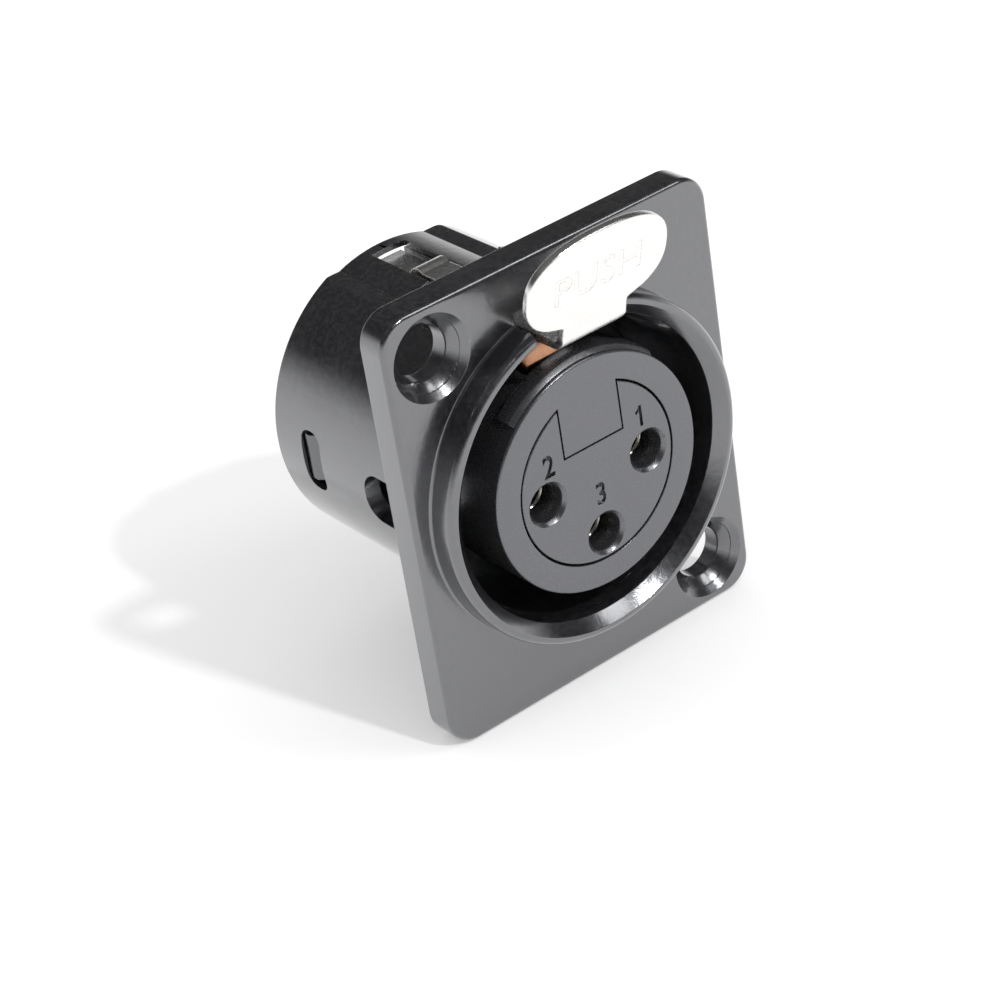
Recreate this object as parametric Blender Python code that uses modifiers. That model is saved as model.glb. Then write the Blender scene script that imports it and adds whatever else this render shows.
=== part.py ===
"""Panel socket for a three-contact microphone plug, with a rectangular flange and a push latch.

X runs to the right seen from the front, Y from the flange towards the rear, and Z up towards
the push tab. The origin lies on the mating axis, in the plane of the flange's rear face.
All sizes are in metres.
"""

import math

import bmesh
import bpy
from mathutils import Matrix

# Seat for the insert, wider than the plug's bore in front of it
SEAT_STEP = 0.00023
SEAT_LENGTH = 0.00495

# Flange round the collar's foot, and its screw holes
FLANGE_SIDE_MARGIN = 0.0010
FLANGE_END_MARGIN = 0.0035
FLANGE_THICKNESS = 0.0023
FLANGE_CORNER_RADIUS = 0.0021
FLANGE_EDGE_RADIUS = 0.00035
SCREW_EDGE_DISTANCE = 0.0035
SCREW_HOLE_RADIUS = 0.0018
COUNTERSINK_RADIUS = 0.0029
COUNTERSINK_DEPTH = 0.0011

# Raised collar round the plug opening
COLLAR_HEIGHT = 0.0020
COLLAR_WALL = 0.00213
COLLAR_FOOT_STEP = 0.00025
COLLAR_EDGE_RADIUS = 0.0005
COLLAR_LIP_WIDENING = 0.00113
COLLAR_LIP_DROP = 0.0003
COLLAR_MOUTH_WIDENING = 0.00084
COLLAR_MOUTH_DEPTH = 0.0011

# Barrel behind the flange, slightly drafted, with a stepped top
BARREL_LENGTH = 0.0162
BARREL_WALL = 0.0010
BARREL_DRAFT = 0.0001
BARREL_EDGE = 0.0002
RELIEF_START = 0.0015
RELIEF_HALF_WIDTH = 0.0049
RELIEF_DEPTH = 0.00123
CROWN_DEPTH = 0.0006
CROWN_HALF_WIDTH = 0.0035

# Side windows of the barrel: a long one behind the flange and the snap window
SIDE_WINDOW_START = 0.0015
SIDE_WINDOW_END = 0.0062
SIDE_WINDOW_TOP = 0.0015
SIDE_WINDOW_BOTTOM = -0.0020
SIDE_WINDOW_CORNER = 0.0014
SNAP_WINDOW_LENGTH = 0.0021
SNAP_WINDOW_HALF_HEIGHT = 0.0022
SNAP_WINDOW_CORNER = 0.0009

# Lever pivot and the cheeks that carry it
PIVOT_Y = 0.0056
HUB_RADIUS = 0.00085
HUB_PLUG_CLEARANCE = 0.00008
HUB_SIDE_CLEARANCE = 0.0003
HUB_BOSS = 0.00007
PIN_RADIUS = 0.0005
PIN_CLEARANCE = 0.00003
PIN_RECESS = 0.00005
CHEEK_THICKNESS = 0.0009
CHEEK_LENGTH = 0.0026
CHEEK_RISE = 0.00105

# Latch lever
LATCH_SWING_DEG = 5.0
LATCH_CLEARANCE = 0.00055
TONGUE_SIDE_CLEARANCE = 0.00062
TONGUE_THICKNESS = 0.00055
TONGUE_BELOW_PIVOT = 0.0001
TONGUE_REACH = 0.00507
BEND_RADIUS = 0.00115
NECK_HALF_WIDTH = 0.00256
TAB_LEAN_DEG = 15.8
TAB_RISE = 0.00405
TAB_HALF_WIDTH = 0.00555
TAB_HALF_HEIGHT = 0.00334
TAB_ROUNDNESS = 2.45
TAB_EDGE_RADIUS = 0.00018
NECK_FILLET = 0.00025
NECK_SETBACK = 0.00003
TAB_FOOT = 0.0001
HOOK_HALF_WIDTH = 0.0014
HOOK_DEPTH = 0.00125
HOOK_START_Y = -0.0018
HOOK_TIP_Y = -0.0006
HOOK_END_Y = 0.0010
TAIL_HALF_WIDTH = 0.0011
TAIL_BELOW_PIVOT = 0.00075
TAIL_THICKNESS = 0.0005
TAIL_NARROW_BEFORE_HUMP = 0.0030
TAIL_TAPER_LENGTH = 0.0007
HUMP_BEFORE_ARCH = 0.0047
HUMP_RADIUS = 0.0010
HUMP_HEIGHT = 0.0002
TAIL_TIP_THICKNESS = 0.00055
TAIL_TIP_GAP = 0.00032
TAIL_DROP_AFTER_HUMP = 0.0005
TAIL_DROP_LENGTH = 0.0013

# Window in the barrel that the tail moves in, and the arch behind it
ARCH_LENGTH = 0.0009
WINDOW_SIDE_CLEARANCE = 0.00025
WINDOW_TAIL_CLEARANCE = 0.0006
WINDOW_TAPER_LENGTH = 0.0006
TAIL_UNDER_ARCH = 0.0004

# Insert sleeve
PLUG_SHELL_GAP = 0.00147
SLEEVE_EDGE = 0.0002
SLEEVE_WALL = 0.0012
SLEEVE_WEB = 0.0020
SLEEVE_RECESS = 0.0006
SEAT_CLEARANCE = 0.00015
SNAP_HALF_HEIGHT = 0.0017
SNAP_REACH = 0.00075
SNAP_CLEARANCE = 0.0002
SNAP_LENGTH = 0.0015
SNAP_FLAT = 0.0005
KEY_HALF_WIDTH = 0.00235
RIB_HEIGHT = 0.0003
RIB_HALF_ANGLE_DEG = 43.5
RIB_LEAD_DROP = 0.00067
RIB_LEAD_LENGTH = 0.0006
RIB_LENGTH = 0.0018

# Contact block and its chambers
BLOCK_CLEARANCE = 0.00014
BLOCK_RECESS = 0.0009
BLOCK_WALL = 0.00026
BLOCK_FRONT_STEP = 0.00068
KEYWAY_WALL = 0.0003
CONTACT_SIDE_X = 0.00417
CONTACT_SIDE_Z = -0.00027
CONTACT_LOW_SETBACK = 0.00028
PLUG_PIN_CLEARANCE = 0.00008
CONTACT_MOUTH_WIDENING = 0.0002
CONTACT_MOUTH_DEPTH = 0.0002
CHAMBER_CLEARANCE = 0.00015
COLLAR_SEAT_DEPTH = 0.0026
COLLAR_SEAT_CLEARANCE = 0.0001

# Contacts
CONTACT_RADIUS = 0.0016
CONTACT_WALL = 0.0004
CONTACT_BORE_LENGTH = 0.0120
CONTACT_CHAMFER = 0.00015
CONTACT_SLOT_WIDTH = 0.0004
CONTACT_SLOT_LENGTH = 0.0055
CONTACT_COLLAR_STEP = 0.0004
CONTACT_COLLAR_LENGTH = 0.0008
CUP_STEP = 0.00015
CUP_WALL = 0.00045
CUP_BORE_LENGTH = 0.0037
CUP_OPEN_LENGTH = 0.0033
CUP_OPEN_Z = 0.0003
CUP_REACH = 0.0038

# Ground contact strip
STRIP_THICKNESS = 0.0003
STRIP_CLEARANCE = 0.00005
STRIP_SIDE_CLEARANCE = 0.0001
STRIP_GROOVE_WALL = 0.0002
STRIP_GROOVE_DEPTH = 0.0009
STRIP_LEFT_X = -0.00265
STRIP_FRONT_RIGHT_X = 0.0001
STRIP_ARM_WIDTH = 0.0011
STRIP_TIP_DROP = 0.00005
STRIP_CREST_HEIGHT = 0.0004
STRIP_CREST_START = 0.0012
STRIP_CREST_LENGTH = 0.0020
STRIP_SLOPE_LENGTH = 0.0017
LUG_HALF_WIDTH = 0.0010
LUG_SETOFF = 0.0007
LUG_LENGTH = 0.0029
LUG_CORNER_RADIUS = 0.0008
LUG_HOLE_RADIUS = 0.00045

# Pocket for the tail and the return spring in it
POCKET_LENGTH = 0.0047
POCKET_CLEARANCE = 0.0003
SPRING_BEFORE_TAIL_END = 0.0018
SPRING_POCKET_DEPTH = 0.00315
SPRING_RADIUS = 0.0010
SPRING_WIRE_RADIUS = 0.00015
SPRING_TURNS = 5
SPRING_POCKET_CLEARANCE = 0.0002
SPRING_END_GAP = 0.0001

# Fineness of round shapes, and how far cutting shapes pass the surfaces they cut
LARGE_STEPS = 72
SMALL_STEPS = 24
CONTACT_STEPS = 20
CORNER_STEPS = 4
TAB_STEPS = 44
SPRING_STEPS = 10
OVERSHOOT = 0.0010
WELD_DISTANCE = 0.000001

# Places that follow from the sizes above
FLANGE_FRONT_Y = -FLANGE_THICKNESS
FRONT_Y = FLANGE_FRONT_Y - COLLAR_HEIGHT
CONTACT_BORE_RADIUS = CONTACT_RADIUS - CONTACT_WALL
CONTACT_HOLE_RADIUS = CONTACT_BORE_RADIUS + PLUG_PIN_CLEARANCE
CONTACT_MOUTH_RADIUS = CONTACT_HOLE_RADIUS + CONTACT_MOUTH_WIDENING
CONTACT_COLLAR_RADIUS = CONTACT_RADIUS + CONTACT_COLLAR_STEP
CUP_RADIUS = CONTACT_RADIUS - CUP_STEP
CUP_BORE_RADIUS = CUP_RADIUS - CUP_WALL
CHAMBER_RADIUS = CONTACT_RADIUS + CHAMBER_CLEARANCE
COLLAR_SEAT_RADIUS = CONTACT_COLLAR_RADIUS + COLLAR_SEAT_CLEARANCE
CONTACT_LOW_Z = -CONTACT_SIDE_X - CONTACT_LOW_SETBACK
CONTACT_PLACES = {
    "contact_1": (CONTACT_SIDE_X, CONTACT_SIDE_Z),
    "contact_2": (-CONTACT_SIDE_X, CONTACT_SIDE_Z),
    "contact_3": (0.0, CONTACT_LOW_Z),
}
BLOCK_RADIUS = COLLAR_SEAT_RADIUS + BLOCK_WALL - CONTACT_LOW_Z
BLOCK_FRONT_RADIUS = BLOCK_RADIUS - BLOCK_FRONT_STEP
SLEEVE_BORE_RADIUS = BLOCK_RADIUS + BLOCK_CLEARANCE
SLEEVE_FRONT_BORE_RADIUS = BLOCK_FRONT_RADIUS + BLOCK_CLEARANCE
SLEEVE_RADIUS = SLEEVE_BORE_RADIUS + SLEEVE_WALL
BORE_RADIUS = SLEEVE_RADIUS + PLUG_SHELL_GAP
COLLAR_RADIUS = BORE_RADIUS + COLLAR_WALL
COLLAR_FOOT_RADIUS = COLLAR_RADIUS + COLLAR_FOOT_STEP
COLLAR_LIP_RADIUS = BORE_RADIUS + COLLAR_LIP_WIDENING
COLLAR_MOUTH_RADIUS = BORE_RADIUS + COLLAR_MOUTH_WIDENING
FLANGE_WIDTH = 2.0 * (COLLAR_FOOT_RADIUS + FLANGE_SIDE_MARGIN)
FLANGE_HEIGHT = 2.0 * (COLLAR_FOOT_RADIUS + FLANGE_END_MARGIN)
SCREW_X = FLANGE_WIDTH / 2.0 - SCREW_EDGE_DISTANCE
SCREW_Z = FLANGE_HEIGHT / 2.0 - SCREW_EDGE_DISTANCE
SEAT_RADIUS = BORE_RADIUS + SEAT_STEP
SEAT_Y = BARREL_LENGTH - SEAT_LENGTH
BARREL_RADIUS = SEAT_RADIUS + BARREL_WALL
BARREL_REAR_RADIUS = BARREL_RADIUS - BARREL_DRAFT
RELIEF_Z = BARREL_RADIUS - RELIEF_DEPTH
CROWN_RADIUS = BARREL_RADIUS - CROWN_DEPTH
PANEL_HOLE_RADIUS = BARREL_RADIUS + CHEEK_RISE
PIVOT_Z = BORE_RADIUS + HUB_PLUG_CLEARANCE + HUB_RADIUS
TONGUE_BOTTOM_Z = PIVOT_Z - TONGUE_BELOW_PIVOT
TONGUE_TOP_Z = TONGUE_BOTTOM_Z + TONGUE_THICKNESS
TONGUE_HALF_WIDTH = NECK_HALF_WIDTH - NECK_SETBACK
HUB_HALF_WIDTH = TONGUE_HALF_WIDTH + HUB_BOSS
CHANNEL_HALF_WIDTH = HUB_HALF_WIDTH + HUB_SIDE_CLEARANCE
GAP_HALF_WIDTH = TONGUE_HALF_WIDTH + TONGUE_SIDE_CLEARANCE
CHEEK_OUTER_X = CHANNEL_HALF_WIDTH + CHEEK_THICKNESS
WINDOW_HALF_WIDTH = TAIL_HALF_WIDTH + WINDOW_SIDE_CLEARANCE
WINDOW_END_Y = BARREL_LENGTH - ARCH_LENGTH
HUMP_Y = WINDOW_END_Y - HUMP_BEFORE_ARCH
TAIL_NARROW_Y = HUMP_Y - TAIL_NARROW_BEFORE_HUMP
TAIL_NARROWS_Y = TAIL_NARROW_Y - TAIL_TAPER_LENGTH
TAIL_DROP_START_Y = HUMP_Y + TAIL_DROP_AFTER_HUMP
TAIL_DROP_END_Y = TAIL_DROP_START_Y + TAIL_DROP_LENGTH
WINDOW_NARROW_Y = TAIL_NARROW_Y + WINDOW_TAIL_CLEARANCE
WINDOW_NARROWS_Y = WINDOW_NARROW_Y - WINDOW_TAPER_LENGTH
TAIL_END_Y = WINDOW_END_Y + TAIL_UNDER_ARCH
TAIL_TIP_TOP_Z = math.sqrt(SEAT_RADIUS**2 - TAIL_HALF_WIDTH**2) - TAIL_TIP_GAP
TAIL_TIP_BOTTOM_Z = TAIL_TIP_TOP_Z - TAIL_TIP_THICKNESS
FLANGE_SEAT_Y = SEAT_Y + SEAT_CLEARANCE
SLEEVE_FLANGE_RADIUS = SEAT_RADIUS - SEAT_CLEARANCE
SLEEVE_END_Y = BARREL_LENGTH - SLEEVE_RECESS
KEYWAY_BOTTOM_Z = CONTACT_SIDE_Z + COLLAR_SEAT_RADIUS + KEYWAY_WALL
KEY_BOTTOM_Z = KEYWAY_BOTTOM_Z + BLOCK_CLEARANCE
RIB_RADIUS = SLEEVE_RADIUS + RIB_HEIGHT
RIB_LEAD_RADIUS = RIB_RADIUS - RIB_LEAD_DROP
SNAP_WINDOW_START = FLANGE_SEAT_Y - 2.0 * SNAP_CLEARANCE
SNAP_WINDOW_END = SNAP_WINDOW_START + SNAP_WINDOW_LENGTH
WEB_END_Y = FRONT_Y + SLEEVE_WEB
RIB_END_Y = FRONT_Y + RIB_LENGTH
STRIP_FLOOR_Z = SLEEVE_RADIUS - STRIP_GROOVE_DEPTH
STRIP_TIP_Z = SLEEVE_RADIUS - STRIP_TIP_DROP
STRIP_CREST_Z = SLEEVE_RADIUS + STRIP_CREST_HEIGHT
STRIP_GROOVE_Y = RIB_END_Y + STRIP_GROOVE_WALL
STRIP_TIP_Y = STRIP_GROOVE_Y + STRIP_SIDE_CLEARANCE + STRIP_THICKNESS / 2.0
STRIP_CREST_Y = STRIP_TIP_Y + STRIP_CREST_START
STRIP_CREST_END_Y = STRIP_CREST_Y + STRIP_CREST_LENGTH
STRIP_ARM_Y = STRIP_CREST_END_Y + STRIP_SLOPE_LENGTH
LUG_START_Y = SLEEVE_END_Y + LUG_SETOFF
LUG_END_Y = LUG_START_Y + LUG_LENGTH
BLOCK_STEP_Y = WEB_END_Y + BLOCK_CLEARANCE
BLOCK_END_Y = BARREL_LENGTH - BLOCK_RECESS
CHAMBER_END_Y = BLOCK_END_Y - COLLAR_SEAT_DEPTH
CONTACT_FRONT_Y = BLOCK_STEP_Y + CHAMBER_CLEARANCE
CONTACT_COLLAR_Y = CHAMBER_END_Y + COLLAR_SEAT_CLEARANCE
CONTACT_END_Y = BARREL_LENGTH + CUP_REACH
POCKET_START_Y = TAIL_END_Y - POCKET_LENGTH
SPRING_Y = TAIL_END_Y - SPRING_BEFORE_TAIL_END
SPRING_FLOOR_Z = SLEEVE_RADIUS - SPRING_POCKET_DEPTH


def swung_height(y, z):
    """Height that a point of the lever reaches when the tab is pushed home."""
    swing = math.radians(LATCH_SWING_DEG)
    return PIVOT_Z + (PIVOT_Y - y) * math.sin(swing) + (z - PIVOT_Z) * math.cos(swing)


SLOT_TOP_Z = swung_height(FLANGE_FRONT_Y, TONGUE_TOP_Z) + LATCH_CLEARANCE
POCKET_FLOOR_Z = swung_height(TAIL_END_Y, TAIL_TIP_BOTTOM_Z) - POCKET_CLEARANCE


def clear_scene():
    """Remove every object that the scene starts with."""
    for item in list(bpy.data.objects):
        bpy.data.objects.remove(item, do_unlink=True)


def new_collection(name):
    """Add a collection to the scene."""
    collection = bpy.data.collections.new(name)
    bpy.context.scene.collection.children.link(collection)
    return collection


def principled(name, color, metallic, roughness):
    """Make a material from a base colour, a metallic value and a roughness."""
    material = bpy.data.materials.new(name)
    material.use_nodes = True
    shader = material.node_tree.nodes["Principled BSDF"]
    shader.inputs["Base Color"].default_value = (*color, 1.0)
    shader.inputs["Metallic"].default_value = metallic
    shader.inputs["Roughness"].default_value = roughness
    return material


def black_paint():
    """Gloss black paint of the die casting."""
    return principled("black_paint", (0.012, 0.012, 0.013), 0.0, 0.28)


def black_plastic():
    """Fine matte black moulding."""
    return principled("black_plastic", (0.020, 0.020, 0.021), 0.0, 0.48)


def nickel():
    """Bright plated nickel."""
    return principled("nickel", (0.78, 0.76, 0.72), 1.0, 0.22)


def copper():
    """Copper coloured spring strip."""
    return principled("copper", (0.72, 0.38, 0.22), 1.0, 0.35)


def spring_steel():
    """Drawn steel wire and pins."""
    return principled("spring_steel", (0.55, 0.55, 0.56), 1.0, 0.30)


def place(item, collection, material=None):
    """Link an object to its collection and give it its material."""
    collection.objects.link(item)
    if material is not None:
        item.data.materials.append(material)
    return item


def turned(name, profile, steps, x=0.0, z=0.0):
    """Turn a profile about an axis along Y.

    The profile is (radius, y) corners from the front down the outer side. One that starts
    at radius zero is solid, and any other one is closed into a ring.
    """
    shape = bmesh.new()
    corners = [shape.verts.new((radius, y, 0.0)) for radius, y in reversed(profile)]
    for first, second in zip(corners, corners[1:]):
        shape.edges.new((first, second))
    if profile[0][0] > 0.0:
        shape.edges.new((corners[-1], corners[0]))
    mesh = bpy.data.meshes.new(name)
    shape.to_mesh(mesh)
    shape.free()
    item = bpy.data.objects.new(name, mesh)
    item.location = (x, 0.0, z)
    screw = item.modifiers.new("Turn", "SCREW")
    screw.axis = "Y"
    screw.angle = math.tau
    screw.steps = steps
    screw.render_steps = steps
    screw.use_merge_vertices = True
    screw.merge_threshold = WELD_DISTANCE
    screw.use_smooth_shade = True
    return item


# How an outline's two directions and its depth turn into row axes
PLAN = Matrix(((1, 0, 0, 0), (0, 1, 0, 0), (0, 0, 1, 0), (0, 0, 0, 1)))
FRONT = Matrix(((1, 0, 0, 0), (0, 0, -1, 0), (0, 1, 0, 0), (0, 0, 0, 1)))
SIDE = Matrix(((0, 0, 1, 0), (1, 0, 0, 0), (0, 1, 0, 0), (0, 0, 0, 1)))


def extruded(name, outline, view, start, end):
    """Give a closed flat outline depth from start to end, seen in plan, from the front or side.

    In the front view depth runs towards the front, so start and end are then values of -Y.
    """
    curve = bpy.data.curves.new(name, "CURVE")
    curve.dimensions = "2D"
    curve.fill_mode = "BOTH"
    curve.extrude = (end - start) / 2.0
    spline = curve.splines.new("POLY")
    spline.points.add(len(outline) - 1)
    for point, (a, b) in zip(spline.points, outline):
        point.co = (a, b, 0.0, 1.0)
    spline.use_cyclic_u = True
    drawn = bpy.data.objects.new(name, curve)
    bpy.context.scene.collection.objects.link(drawn)
    ready = drawn.evaluated_get(bpy.context.evaluated_depsgraph_get())
    mesh = bpy.data.meshes.new_from_object(ready)
    bpy.data.objects.remove(drawn, do_unlink=True)
    mesh.transform(view @ Matrix.Translation((0.0, 0.0, (start + end) / 2.0)))
    shape = bmesh.new()
    shape.from_mesh(mesh)
    bmesh.ops.remove_doubles(shape, verts=shape.verts, dist=WELD_DISTANCE)
    bmesh.ops.dissolve_limit(
        shape, angle_limit=math.radians(0.1), verts=shape.verts, edges=shape.edges
    )
    bmesh.ops.recalc_face_normals(shape, faces=shape.faces)
    shape.to_mesh(mesh)
    shape.free()
    return bpy.data.objects.new(name, mesh)


def rod(name, radius, half_length, y, z, steps):
    """Cylinder along X, centred on the row's middle plane."""
    shape = bmesh.new()
    bmesh.ops.create_cone(
        shape,
        cap_ends=True,
        segments=steps,
        radius1=radius,
        radius2=radius,
        depth=2.0 * half_length,
        matrix=Matrix.Translation((0.0, y, z)) @ Matrix.Rotation(math.pi / 2.0, 4, "Y"),
    )
    mesh = bpy.data.meshes.new(name)
    shape.to_mesh(mesh)
    shape.free()
    return bpy.data.objects.new(name, mesh)


def combine(target, tool, operation):
    """Cut, join or intersect an object with a tool shape, which goes to the cutters."""
    tool.hide_render = True
    tool.display_type = "WIRE"
    place(tool, CUTTERS)
    step = target.modifiers.new(tool.name, "BOOLEAN")
    step.solver = "EXACT"
    step.operation = operation
    step.object = tool


def cut(target, tool):
    """Take a tool shape out of an object."""
    combine(target, tool, "DIFFERENCE")


def join(target, tool):
    """Add a tool shape to an object."""
    combine(target, tool, "UNION")


def keep(target, tool):
    """Keep only what lies inside a tool shape."""
    combine(target, tool, "INTERSECT")


def arc(center, radius, start_deg, end_deg, steps):
    """Points on an arc, both ends included."""
    points = []
    for index in range(steps + 1):
        angle = math.radians(start_deg + (end_deg - start_deg) * index / steps)
        points.append((center[0] + radius * math.cos(angle), center[1] + radius * math.sin(angle)))
    return points


def rounded(corners):
    """Closed outline whose (a, b, radius) corners are rounded by their own radius."""
    points = []
    for index, (a, b, radius) in enumerate(corners):
        if radius == 0.0:
            points.append((a, b))
            continue
        last_a, last_b, _ = corners[index - 1]
        next_a, next_b, _ = corners[(index + 1) % len(corners)]
        to_last = math.atan2(last_b - b, last_a - a)
        to_next = math.atan2(next_b - b, next_a - a)
        opening = (to_next - to_last + math.pi) % math.tau - math.pi
        side = math.copysign(1.0, opening)
        reach = radius / math.sin(abs(opening) / 2.0)
        middle = to_last + opening / 2.0
        center = (a + reach * math.cos(middle), b + reach * math.sin(middle))
        start = to_last - side * math.pi / 2.0
        end = start + opening - side * math.pi
        points += arc(center, radius, math.degrees(start), math.degrees(end), CORNER_STEPS)
    return points


def rectangle(left, bottom, right, top, radius=0.0):
    """Outline of a rectangle with rounded corners."""
    return rounded([
        (left, bottom, radius),
        (right, bottom, radius),
        (right, top, radius),
        (left, top, radius),
    ])


def block(name, low, high):
    """Box between two opposite corners."""
    return extruded(name, rectangle(low[0], low[1], high[0], high[1]), PLAN, low[2], high[2])


def flange_plate():
    """Rectangular flange with round corners and a soft front edge."""
    shape = bmesh.new()
    size = Matrix.Diagonal((FLANGE_WIDTH, FLANGE_THICKNESS, FLANGE_HEIGHT, 1.0))
    shift = Matrix.Translation((0.0, FLANGE_FRONT_Y / 2.0, 0.0))
    bmesh.ops.create_cube(shape, size=1.0, matrix=shift @ size)
    corners = [edge for edge in shape.edges if abs(edge.verts[0].co.y - edge.verts[1].co.y) > WELD_DISTANCE]
    bmesh.ops.bevel(
        shape, geom=corners, offset=FLANGE_CORNER_RADIUS, segments=6, profile=0.5, affect="EDGES"
    )
    front = [edge for edge in shape.edges if max(vert.co.y for vert in edge.verts) < FLANGE_FRONT_Y / 2.0]
    bmesh.ops.bevel(
        shape, geom=front, offset=FLANGE_EDGE_RADIUS, segments=3, profile=0.5, affect="EDGES"
    )
    mesh = bpy.data.meshes.new("flange_plate")
    shape.to_mesh(mesh)
    shape.free()
    return bpy.data.objects.new("flange_plate", mesh)


def casting_profile():
    """Collar and barrel as one solid of revolution, rooted inside the flange."""
    root = FLANGE_FRONT_Y / 2.0
    rounding = (COLLAR_RADIUS - COLLAR_EDGE_RADIUS, FRONT_Y + COLLAR_EDGE_RADIUS)
    return [
        (0.0, FRONT_Y),
        *arc(rounding, COLLAR_EDGE_RADIUS, -90.0, 0.0, CORNER_STEPS),
        (COLLAR_FOOT_RADIUS, FLANGE_FRONT_Y),
        (COLLAR_FOOT_RADIUS, root),
        (BARREL_RADIUS, root),
        (BARREL_RADIUS, 0.0),
        (BARREL_REAR_RADIUS, BARREL_LENGTH - BARREL_EDGE),
        (BARREL_REAR_RADIUS - BARREL_EDGE, BARREL_LENGTH),
        (0.0, BARREL_LENGTH),
    ]


def bore_profile():
    """Plug opening with its lead-in, the plug bore and the wider insert seat."""
    return [
        (0.0, FRONT_Y - OVERSHOOT),
        (COLLAR_LIP_RADIUS, FRONT_Y - OVERSHOOT),
        (COLLAR_LIP_RADIUS, FRONT_Y),
        (COLLAR_MOUTH_RADIUS, FRONT_Y + COLLAR_LIP_DROP),
        (BORE_RADIUS, FRONT_Y + COLLAR_MOUTH_DEPTH),
        (BORE_RADIUS, SEAT_Y),
        (SEAT_RADIUS, SEAT_Y),
        (SEAT_RADIUS, BARREL_LENGTH + OVERSHOOT),
        (0.0, BARREL_LENGTH + OVERSHOOT),
    ]


def relief_outline():
    """What the stepped top leaves off the barrel, seen from the front."""
    top = BARREL_RADIUS + OVERSHOOT
    crown_deg = math.degrees(math.acos(CROWN_HALF_WIDTH / CROWN_RADIUS))
    crown = arc((0.0, 0.0), CROWN_RADIUS, 180.0 - crown_deg, crown_deg, 2 * CORNER_STEPS)
    return [
        (-RELIEF_HALF_WIDTH, top),
        (-RELIEF_HALF_WIDTH, RELIEF_Z),
        (-CROWN_HALF_WIDTH, RELIEF_Z),
        *crown,
        (CROWN_HALF_WIDTH, RELIEF_Z),
        (RELIEF_HALF_WIDTH, RELIEF_Z),
        (RELIEF_HALF_WIDTH, top),
    ]


def cheek_outline(side):
    """One cheek seen from the front, its top on the panel hole's circle."""
    inner_deg = math.degrees(math.acos(CHANNEL_HALF_WIDTH / PANEL_HOLE_RADIUS))
    outer_deg = math.degrees(math.acos(CHEEK_OUTER_X / PANEL_HOLE_RADIUS))
    top = arc((0.0, 0.0), PANEL_HOLE_RADIUS, outer_deg, inner_deg, CORNER_STEPS)
    root = BORE_RADIUS - OVERSHOOT
    outline = [(CHANNEL_HALF_WIDTH, root), (CHEEK_OUTER_X, root), *top]
    return [(side * x, z) for x, z in outline]


def latch_window_outline():
    """Plan of the gap in the collar, the slot in the flange and the window in the barrel."""
    half = [
        (GAP_HALF_WIDTH, FRONT_Y - OVERSHOOT),
        (GAP_HALF_WIDTH, 0.0),
        (CHANNEL_HALF_WIDTH, 0.0),
        (CHANNEL_HALF_WIDTH, WINDOW_NARROWS_Y),
        (WINDOW_HALF_WIDTH, WINDOW_NARROW_Y),
        (WINDOW_HALF_WIDTH, WINDOW_END_Y),
    ]
    return half + [(-x, y) for x, y in reversed(half)]


def screw_hole(name, x, z):
    """Countersunk screw hole of the flange."""
    profile = [
        (0.0, FLANGE_FRONT_Y - OVERSHOOT),
        (COUNTERSINK_RADIUS, FLANGE_FRONT_Y - OVERSHOOT),
        (COUNTERSINK_RADIUS, FLANGE_FRONT_Y),
        (SCREW_HOLE_RADIUS, FLANGE_FRONT_Y + COUNTERSINK_DEPTH),
        (SCREW_HOLE_RADIUS, OVERSHOOT),
        (0.0, OVERSHOOT),
    ]
    return turned(name, profile, SMALL_STEPS, x, z)


def build_shell(material):
    """Die-cast shell: flange, collar and barrel with their openings."""
    shell = place(turned("shell", casting_profile(), LARGE_STEPS), PARTS, material)
    join(shell, flange_plate())
    relief = (-BARREL_LENGTH - OVERSHOOT, -RELIEF_START)
    cut(shell, extruded("barrel_relief", relief_outline(), FRONT, *relief))
    cheeks = (-PIVOT_Y - CHEEK_LENGTH / 2.0, -PIVOT_Y + CHEEK_LENGTH / 2.0)
    join(shell, extruded("right_cheek", cheek_outline(1.0), FRONT, *cheeks))
    join(shell, extruded("left_cheek", cheek_outline(-1.0), FRONT, *cheeks))
    cut(shell, turned("plug_bore", bore_profile(), LARGE_STEPS))
    window_floor = BORE_RADIUS - 2.0 * OVERSHOOT
    cut(shell, extruded("latch_window", latch_window_outline(), PLAN, window_floor, SLOT_TOP_Z))
    cut(shell, rod("pin_holes", PIN_RADIUS + PIN_CLEARANCE, BARREL_RADIUS, PIVOT_Y, PIVOT_Z, SMALL_STEPS))
    side_window = rounded([
        (SIDE_WINDOW_START, SIDE_WINDOW_BOTTOM, FLANGE_EDGE_RADIUS),
        (SIDE_WINDOW_END, SIDE_WINDOW_BOTTOM, SIDE_WINDOW_CORNER),
        (SIDE_WINDOW_END, SIDE_WINDOW_TOP, SIDE_WINDOW_CORNER),
        (SIDE_WINDOW_START, SIDE_WINDOW_TOP, FLANGE_EDGE_RADIUS),
    ])
    reach = BARREL_RADIUS + OVERSHOOT
    cut(shell, extruded("side_windows", side_window, SIDE, -reach, reach))
    snap_window = rectangle(
        SNAP_WINDOW_START,
        -SNAP_WINDOW_HALF_HEIGHT,
        SNAP_WINDOW_END,
        SNAP_WINDOW_HALF_HEIGHT,
        SNAP_WINDOW_CORNER,
    )
    cut(shell, extruded("snap_windows", snap_window, SIDE, -reach, reach))
    cut(shell, screw_hole("upper_screw_hole", -SCREW_X, SCREW_Z))
    cut(shell, screw_hole("lower_screw_hole", SCREW_X, -SCREW_Z))


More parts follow.
